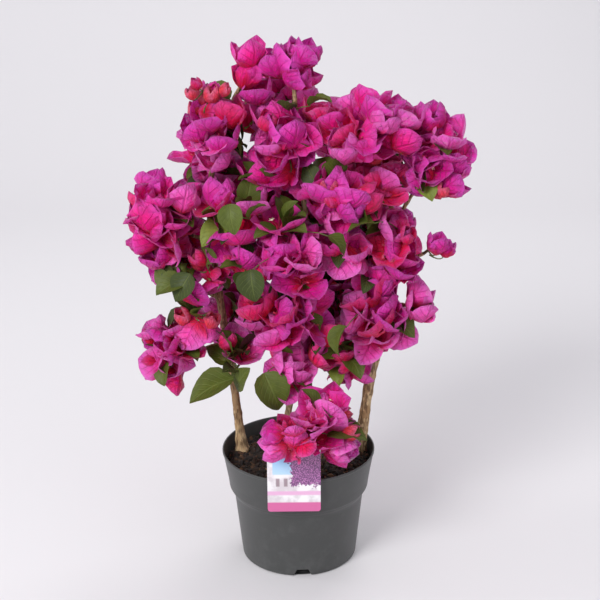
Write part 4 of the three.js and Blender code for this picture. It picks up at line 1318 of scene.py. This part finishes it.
def build_flowers():
    """Three tube flowers stand in each open head: a swollen foot, a slim neck and, on some, a cream star."""
    heads = head_table()
    keep = heads["opening"] > 0.12
    heads = {key: np.repeat(value[keep], 3, 0) for key, value in heads.items()}
    draw = np.random.RandomState(SEEDS["flowers"])
    count = len(heads["turn"])
    third = np.tile(np.arange(3), count // 3)
    out = perpendicular(heads["axis"], heads["turn"] + TAU / 3 * third)
    length = (settings().flower_length * heads["scale"] * draw.uniform(0.8, 1.1, count))[:, None]
    outward = out * (0.18 + 0.4 * heads["opening"][:, None])
    lean = unit(heads["axis"] + outward + draw.normal(0, 0.05, (count, 3)))
    start = heads["root"] + out * 1.2
    paths = bends(start, start + heads["axis"] * length * 0.5, start + lean * length, 6)
    radii = np.array([0.5, 1.25, 1.05, 0.72, 0.95, 1.2])[None] * (0.6 + 0.4 * heads["scale"][:, None])
    body = tubes(paths, radii, 6)

    starred = draw.rand(count) < 0.08
    tip = (start + lean * length)[starred]
    up = lean[starred]
    rays = 10
    lobes = 1 + 0.3 * np.cos(5 * TAU * np.arange(rays) / rays)
    star_paths = np.stack([tip - up * 0.3, tip + up * 0.2, tip + up * 0.7, tip + up * 0.9, tip + up * 0.5], 1)
    flare = np.array([0.9, 1.0, 2.1, 2.9, 0.7])[:, None] * np.where(np.arange(5)[:, None] > 1, lobes[None], 1)
    star = tubes(star_paths, np.repeat(flare[None], len(tip), 0), rays)

    points, quads, fans = stack([body, star])
    tube = Finish("flower_tube", (0.72, 0.16, 0.3), 0.5).material
    cream = Finish("flower_star", (0.95, 0.9, 0.78), 0.5).material
    slots = np.repeat([0, 1, 0, 1], [len(body[1]), len(star[1]), len(body[2]), len(star[2])])
    piece = mesh_object("tube_flowers", points, [quads, fans], [tube, cream], slots=slots)
    finish_piece(piece)


# ---------------------------------------------------------------- pot, soil and label

POT_SIDES = 168
WALL = 1.6
NOTCHES = {"count": 4, "turn": 3, "half_foot": 10.0, "half_head": 6.0, "height": 8.0, "depth": 13.0}


def rounded(corners, steps=5):
    """A profile from corners of radius, height and rounding, each corner a curve between its two sides."""
    corners = np.asarray(corners, float)
    profile, rounding = corners[:, :2], corners[:, 2]
    points = [profile[:1]]
    t = np.linspace(0, 1, steps)[:, None]
    for before, corner, after, most in zip(profile, profile[1:], profile[2:], rounding[1:]):
        toward, away = before - corner, after - corner
        take = min(most, 0.45 * np.linalg.norm(toward), 0.45 * np.linalg.norm(away))
        a, b = corner + unit(toward) * take, corner + unit(away) * take
        points.append((1 - t) ** 2 * a + 2 * t * (1 - t) * corner + t**2 * b)
    points.append(profile[-1:])
    return np.vstack(points)


def lathe(profile, angles):
    """A profile of radius and height turned about the upright axis, with both its ends on that axis."""
    ring = np.stack([np.cos(angles), np.sin(angles)], -1)
    inner = profile[1:-1]
    rings = np.concatenate([inner[:, None, :1] * ring[None],
                            np.broadcast_to(inner[:, None, 1:], (len(inner), len(angles), 1))], -1)
    count = len(angles)
    points = np.vstack([rings.reshape(-1, 3), [[0, 0, profile[0, 1]]], [[0, 0, profile[-1, 1]]]])
    quads, fans = tube_faces(len(inner), count)
    return points, quads, fans


def pot_profile():
    """Half the section of the pot's wall: from the middle of its underside out, up, over the rim and in."""
    outer = [(0, 0, 0), (POT["foot"], 0, 4), (POT["shoulder"], POT["shoulder_height"], 4), (77, 83, 4),
             (84.2, 124.6, 0.4), (POT["rim"], 125.4, 0.3), (POT["rim"], POT["height"], 0.6)]
    inner = [(83.4, POT["height"], 0.6), (82.6, 124.2, 0.8), (77.9, 85, 1.5), (75.6, 82, 1.5), (71, 78, 1.5),
             (63.3, 3, 3), (0, 2.6, 0)]
    return rounded(outer + inner)


def notch_angles():
    """Even steps round the pot, with finer ones where the notches are."""
    base = np.arange(POT_SIDES) * TAU / POT_SIDES
    middles = np.radians(NOTCHES["turn"] - 90 + np.arange(NOTCHES["count"]) * 360 / NOTCHES["count"])
    spread = np.linspace(-12, 12, 41) / POT["foot"]
    fine = (middles[:, None] + spread[None]).ravel() % TAU
    return np.unique(np.round(np.concatenate([base, fine]), 5)), middles


def build_pot():
    """The lathed wall, pressed in at each notch of its foot, the inside with it."""
    look = finishes()
    angles, middles = notch_angles()
    profile = pot_profile()
    rows = np.linspace(1.5, 24, 19)[:, None]
    low, high = profile[:, 1] < 1, profile[:, 1] > 60
    turned = np.arange(len(profile)) >= np.argmax(profile[:, 1])
    outer = np.hstack([POT["foot"] + (POT["shoulder"] - POT["foot"]) * rows / POT["shoulder_height"], rows])
    inner = outer[:0:-1] - [WALL, 0]
    profile = np.vstack([profile[low & ~turned], outer, profile[high], inner, profile[turned & ~high][1:]])
    points, quads, fans = lathe(profile, angles)
    radius = np.hypot(points[:, 0], points[:, 1])
    turn = np.arctan2(points[:, 1], points[:, 0])
    height = points[:, 2]
    inside = np.repeat(np.arange(len(profile) - 2) + 1 > np.argmax(profile[:, 1]), len(angles))
    margin = WALL * np.concatenate([inside, [False, True]])
    push = np.zeros(len(points))
    for middle in middles:
        across = np.abs((turn - middle + np.pi) % TAU - np.pi) * POT["foot"] - margin
        rise = height - margin
        half = NOTCHES["half_foot"] + (NOTCHES["half_head"] - NOTCHES["half_foot"]) * rise / NOTCHES["height"]
        edges = smooth_step(0.5, -0.5, across - half) * smooth_step(0.6, -0.6, rise - NOTCHES["height"])
        push = np.maximum(push, edges)
    shift = np.where(radius > POT["foot"] - 2 * WALL, push * NOTCHES["depth"], 0)
    points[:, :2] *= ((radius - shift) / np.maximum(radius, 1e-6))[:, None]
    plastic = plastic_finish("pot_plastic", look.pot)
    piece = mesh_object("nursery_pot", points, [quads, fans], [plastic], sharp=50)
    finish_piece(piece, ["pot"])


def build_soil():
    """The filling of the pot: a turned profile whose top is raised and lowered by a sum of slanting sines."""
    look = finishes()
    inner = SOIL_RADIUS
    angles = np.arange(96) * TAU / 96
    rings = np.linspace(inner, 0, 40)[:-1]
    top = np.stack([rings, np.full(len(rings), SOIL_TOP)], 1)
    foot = np.array([(0, 3.2), (46, 3.2), (48, 12), (61.5, 12), (70.3, 78), (74.9, 82), (77.2, 85.4)])
    points, quads, fans = lathe(np.vstack([foot, top, [(0, SOIL_TOP)]]), angles)
    on_top = points[:, 2] > SOIL_TOP - 0.5
    x, y = points[:, 0], points[:, 1]
    draw = np.random.RandomState(SEEDS["soil"])
    waves = sum(np.sin(draw.normal(0, 0.16) * x + draw.normal(0, 0.16) * y + draw.uniform(0, TAU))
                for _ in range(14))
    points[:, 2] += np.where(on_top, 0.45 * waves * smooth_step(inner, inner - 6, np.hypot(x, y)) - 0.6, 0)
    soil = mesh_object("soil", points, [quads, fans], [soil_finish("peat", look.soil)])
    finish_piece(soil, ["potting_soil"])


def build_crumbs():
    """Loose crumbs and bark chips: short fat six-sided tubes, each corner moved a little at random."""
    draw = np.random.RandomState(SEEDS["crumbs"])
    count = 3400
    turn = draw.uniform(0, TAU, count)
    size = 0.9 + 2.4 * draw.rand(count) ** 2.2
    radius = np.minimum(80 * np.sqrt(draw.rand(count)), 80.5 - 3.2 * size)
    height = SOIL_TOP + draw.uniform(-1.2, 1.6, count)
    middle = np.stack([radius * np.cos(turn), radius * np.sin(turn), height], 1)
    heading = unit(draw.normal(0, 1, (count, 3)) * [1, 1, 0.35])
    long = (size * draw.uniform(0.9, 2.6, count))[:, None]
    t = np.linspace(-1, 1, 4)
    paths = middle[:, None] + heading[:, None] * long[:, None] * t[None, :, None]
    radii = size[:, None] * np.array([0.45, 1, 0.95, 0.4])[None]
    points, quads, fans = tubes(paths, radii * draw.uniform(0.8, 1.2, radii.shape), 6)
    points = points + draw.normal(0, 0.22, points.shape)
    tones = [(0.1, 0.065, 0.045), (0.17, 0.11, 0.07), (0.27, 0.18, 0.11), (0.4, 0.29, 0.19)]
    materials = [Finish(f"crumb_{k}", tone, 0.9).material for k, tone in enumerate(tones)]
    tone = draw.choice(4, count, p=[0.4, 0.36, 0.19, 0.05])
    slots = np.concatenate([np.repeat(tone, len(quads) // count), np.repeat(tone, len(fans) // count)])
    crumbs = mesh_object("peat_crumbs", points, [quads, fans], materials, slots=slots)
    crumbs.data.shade_flat()
    finish_piece(crumbs)


def card_outline(steps=6):
    """The card's edge, anticlockwise from the front: straight sides and a quarter circle at each corner."""
    half, corner = LABEL["width"] / 2, LABEL["corner"]
    middles = [(half - corner, LABEL["head"] - corner), (corner - half, LABEL["head"] - corner),
               (corner - half, LABEL["foot"] + corner), (half - corner, LABEL["foot"] + corner)]
    arcs = []
    for k, (x, z) in enumerate(middles):
        angle = (k + np.linspace(0, 1, steps)) * np.pi / 2
        arcs.append(np.stack([x + corner * np.cos(angle), z + corner * np.sin(angle)], 1))
    return np.vstack(arcs)


def label_finish():
    """A plain printed picture: sky over a white wall, a bush of mauve dots, pale and deep pink bands."""
    finish = Finish("label_print", (0.93, 0.92, 0.93), 0.3, Coat_Weight=0.4, Coat_Roughness=0.12)
    parts = finish.node("ShaderNodeSeparateXYZ", {0: finish.place()})
    width, height = LABEL["width"] * MM, (LABEL["head"] - LABEL["foot"]) * MM
    across = finish.math("MULTIPLY_ADD", parts.outputs["X"], 1 / width, 0.5 - LABEL["centre_x"] * MM / width)
    up = finish.math("MULTIPLY_ADD", parts.outputs["Z"], 1 / height, -LABEL["foot"] * MM / height)
    edge = 0.012

    def band(low, high, value):
        """1 where value is between low and high, with soft edges."""
        return finish.math("MULTIPLY", finish.step(low - edge, low + edge, value),
                           finish.step(high + edge, high - edge, value))

    sky = finish.math("MULTIPLY", band(0.56, 1.1, up), band(0.1, 0.48, across))
    sky_tone = finish.mix(finish.step(0.55, 1.0, up), linear((0.72, 0.86, 0.96)), linear((0.4, 0.65, 0.9)))
    wall = finish.mix(finish.step(0.4, 0.6, finish.noise(finish.place((1, 0, 1)), 60.0, 3.0)),
                      linear((0.95, 0.94, 0.95)), linear((0.84, 0.81, 0.83)))
    colour = finish.mix(sky, wall, sky_tone)
    panes = finish.math("ADD", band(0.16, 0.23, across), band(0.31, 0.38, across))
    panes = finish.math("MULTIPLY", panes, band(0.38, 0.5, up))
    colour = finish.mix(panes, colour, linear((0.62, 0.55, 0.58)))
    dots = finish.node("ShaderNodeTexVoronoi", {"Vector": finish.place((1, 0, 1)), "Scale": 900.0})
    ragged = finish.noise(finish.place((1, 0, 1)), 120.0, 4.0, 0.7)
    reach = finish.math("MULTIPLY_ADD", ragged, 0.6, finish.math("ADD", across, -0.24))
    rise = finish.math("MULTIPLY_ADD", ragged, 0.4, finish.math("ADD", up, -0.18))
    blossom = finish.math("MULTIPLY", band(0.5, 1.2, reach), band(0.42, 0.9, rise))
    dot_tone = finish.mix(finish.step(0.2, 0.6, dots.outputs["Distance"]), linear((0.78, 0.5, 0.74)),
                          linear((0.45, 0.27, 0.46)))
    colour = finish.mix(blossom, colour, dot_tone)
    colour = finish.mix(band(0.25, 0.31, up), colour, linear((0.9, 0.7, 0.84)))
    colour = finish.mix(band(-0.1, 0.14, up), colour, linear((0.83, 0.4, 0.62)))
    finish.colour(colour)
    return finish.material


def build_label():
    """The card, extruded from its outline, and the hook that holds it over the rim."""
    outline = card_outline()
    count = len(outline)
    layers = []
    for y in (LABEL["back_y"], LABEL["back_y"] - LABEL["thickness"]):
        x, z = outline[:, 0] + LABEL["centre_x"], outline[:, 1]
        layers.append(np.stack([x, np.full(count, float(y)), z], 1))
    k = np.arange(count)
    sides = np.stack([k, (k + 1) % count, count + (k + 1) % count, count + k], 1)
    faces = [np.array([k[::-1]]), np.array([count + k]), sides]
    card = mesh_object("label_card", np.vstack(layers), faces, [label_finish()], sharp=40)
    for polygon in card.data.polygons:
        polygon.use_smooth = False
    finish_piece(card, ["plant_label"])

    half = LABEL["hook_width"] / 2
    section = [(LABEL["back_y"] + 0.02, LABEL["hook_top"] - 1), (LABEL["back_y"] + 0.02, LABEL["hook_top"]),
               (LABEL["hook_inside"], LABEL["hook_top"]), (LABEL["hook_inside"], SOIL_TOP + GAP),
               (LABEL["hook_inside"] - 1, SOIL_TOP + GAP), (LABEL["hook_inside"] - 1, LABEL["hook_top"] - 1)]
    section = np.array(section, float)
    corners = len(section)
    points = np.vstack([np.hstack([np.full((corners, 1), LABEL["centre_x"] + x), section])
                        for x in (-half, half)])
    k = np.arange(corners)
    sides = np.stack([k, (k + 1) % corners, corners + (k + 1) % corners, corners + k], 1)
    end = np.array([[0, 1, 2, 5], [2, 3, 4, 5]])
    faces = [end, end[:, ::-1] + corners, sides[:, ::-1]]
    white = Finish("label_hook", (0.9, 0.89, 0.9), 0.35).material
    hook = mesh_object("label_hook", points, faces, [white], sharp=40)
    finish_piece(hook)


# ---------------------------------------------------------------- stage

def build_floor():
    """A floor that curves up into a backdrop behind the plant: a run, a quarter circle and a wall."""
    bend, back, half = FLOOR["bend"], FLOOR["back"], FLOOR["half_width"]
    t = np.linspace(0, np.pi / 2, 24)
    curve = np.stack([back + bend * np.sin(t), bend * (1 - np.cos(t))], 1)
    line = np.vstack([[FLOOR["front"], 0], curve, [back + bend, FLOOR["wall"]]])
    points = np.vstack([np.hstack([np.full((len(line), 1), x), line]) for x in (-half, half)])
    k = np.arange(len(line) - 1)
    quads = np.stack([k, len(line) + k, len(line) + k + 1, k + 1], 1)
    paper = Finish("backdrop_paper", staging().floor, 0.9, Specular_IOR_Level=0.1).material
    floor = mesh_object("floor_and_backdrop", points / MM, [quads], [paper])


def add_light(name, place, target, size, power):
    """A round area light that looks from its place at its target."""
    data = bpy.data.lights.new(name, "AREA")
    data.shape = "DISK"
    data.size = size
    data.energy = power
    light = bpy.data.objects.new(name, data)
    light.location = place
    light.rotation_euler = (Vector(target) - Vector(place)).to_track_quat("-Z", "Y").to_euler()
    bpy.context.scene.collection.objects.link(light)


def build_lights():
    """The area lights, and an even surround."""
    for name, values in LIGHTS.items():
        add_light(name, *values)
    world = bpy.data.worlds.new("studio")
    bpy.context.scene.world = world
    world.use_nodes = True
    for socket, value in SURROUND.items():
        world.node_tree.nodes["Background"].inputs[socket].default_value = value
    bpy.context.scene.view_settings.view_transform = "Standard"


def build_camera():
    """The camera stands in front of the pot; its axes come from yaw, then pitch, then roll."""
    stage = staging()
    yaw, pitch, roll = stage.camera_yaw, stage.camera_pitch, stage.camera_roll
    level = Vector((math.sin(yaw), math.cos(yaw), 0))
    right = Vector((math.cos(yaw), -math.sin(yaw), 0))
    forward = level * math.cos(pitch) - Vector(UP) * math.sin(pitch)
    up = Vector(UP) * math.cos(pitch) + level * math.sin(pitch)
    side = right * math.cos(roll) - up * math.sin(roll)
    head = up * math.cos(roll) + right * math.sin(roll)
    data = bpy.data.cameras.new("camera")
    data.lens = stage.lens
    data.clip_end = 30
    camera = bpy.data.objects.new("camera", data)
    camera.matrix_world = Matrix.Translation((0, -stage.camera_distance, stage.camera_height)) @ Matrix(
        [(side.x, head.x, -forward.x, 0), (side.y, head.y, -forward.y, 0), (side.z, head.z, -forward.z, 0),
         (0, 0, 0, 1)])
    bpy.context.scene.collection.objects.link(camera)
    bpy.context.scene.camera = camera


# ---------------------------------------------------------------- operators and panel

class BUSH_OT_stems(bpy.types.Operator):
    """Make the three woody stems with their bark"""

    bl_idname = "bush.stems"
    bl_label = "Woody stems"

    def execute(self, context):
        build_stems()
        return {"FINISHED"}


class BUSH_OT_boughs(bpy.types.Operator):
    """Make the boughs that carry the masses of foliage"""

    bl_idname = "bush.boughs"
    bl_label = "Boughs"

    def execute(self, context):
        build_boughs()
        return {"FINISHED"}


class BUSH_OT_twigs(bpy.types.Operator):
    """Make the twigs and stalks that the rule has grown"""

    bl_idname = "bush.twigs"
    bl_label = "Twigs"

    def execute(self, context):
        build_twigs()
        return {"FINISHED"}


class BUSH_OT_leaves(bpy.types.Operator):
    """Make the leaves, old, full-grown and young"""

    bl_idname = "bush.leaves"
    bl_label = "Leaves"

    def execute(self, context):
        build_leaves()
        return {"FINISHED"}


class BUSH_OT_bracts(bpy.types.Operator):
    """Make the papery bracts, three to a head, in their tints"""

    bl_idname = "bush.bracts"
    bl_label = "Bracts"

    def execute(self, context):
        build_bracts()
        return {"FINISHED"}


class BUSH_OT_flowers(bpy.types.Operator):
    """Make the small tube flowers inside the bracts"""

    bl_idname = "bush.flowers"
    bl_label = "Tube flowers"

    def execute(self, context):
        build_flowers()
        return {"FINISHED"}


class BUSH_OT_pot(bpy.types.Operator):
    """Make the pot"""

    bl_idname = "bush.pot"
    bl_label = "Pot"

    def execute(self, context):
        build_pot()
        return {"FINISHED"}


class BUSH_OT_soil(bpy.types.Operator):
    """Fill the pot with soil and strew loose crumbs on it"""

    bl_idname = "bush.soil"
    bl_label = "Soil"

    def execute(self, context):
        build_soil()
        build_crumbs()
        return {"FINISHED"}


class BUSH_OT_label(bpy.types.Operator):
    """Make the plant label with its hook"""

    bl_idname = "bush.label"
    bl_label = "Plant label"

    def execute(self, context):
        build_label()
        return {"FINISHED"}


class BUSH_OT_stage(bpy.types.Operator):
    """Set up the floor, the lights and the camera"""

    bl_idname = "bush.stage"
    bl_label = "Stage"

    def execute(self, context):
        build_floor()
        build_lights()
        build_camera()
        return {"FINISHED"}


OPERATORS = [BUSH_OT_stems, BUSH_OT_boughs, BUSH_OT_twigs, BUSH_OT_leaves, BUSH_OT_bracts, BUSH_OT_flowers,
             BUSH_OT_pot, BUSH_OT_soil, BUSH_OT_label, BUSH_OT_stage]


class BUSH_PT_panel(bpy.types.Panel):
    """The settings, and a button for each operator"""

    bl_idname = "BUSH_PT_panel"
    bl_label = "Bougainvillea bush"
    bl_space_type = "VIEW_3D"
    bl_region_type = "UI"
    bl_category = "Bougainvillea"

    def draw(self, context):
        layout = self.layout
        for group in (settings(), finishes(), staging()):
            box = layout.box()
            for name in group.__annotations__:
                box.prop(group, name)
        for operator in OPERATORS:
            layout.operator(operator.bl_idname)


GROUPS = {"bush_settings": BushSettings, "finish_settings": FinishSettings, "stage_settings": StageSettings}


def register():
    """Register the classes and hang their settings on the scene."""
    for cls in [*GROUPS.values(), *OPERATORS, BUSH_PT_panel]:
        bpy.utils.register_class(cls)
    for name, group in GROUPS.items():
        setattr(bpy.types.Scene, name, PointerProperty(type=group))


def unregister():
    """Take the settings and the classes away again."""
    for name in GROUPS:
        delattr(bpy.types.Scene, name)
    for cls in reversed([*GROUPS.values(), *OPERATORS, BUSH_PT_panel]):
        bpy.utils.unregister_class(cls)


def main():
    """Make every piece in order."""
    register()
    for operator in OPERATORS:
        group, name = operator.bl_idname.split(".")
        getattr(getattr(bpy.ops, group), name)()


if __name__ == "__main__":
    main()
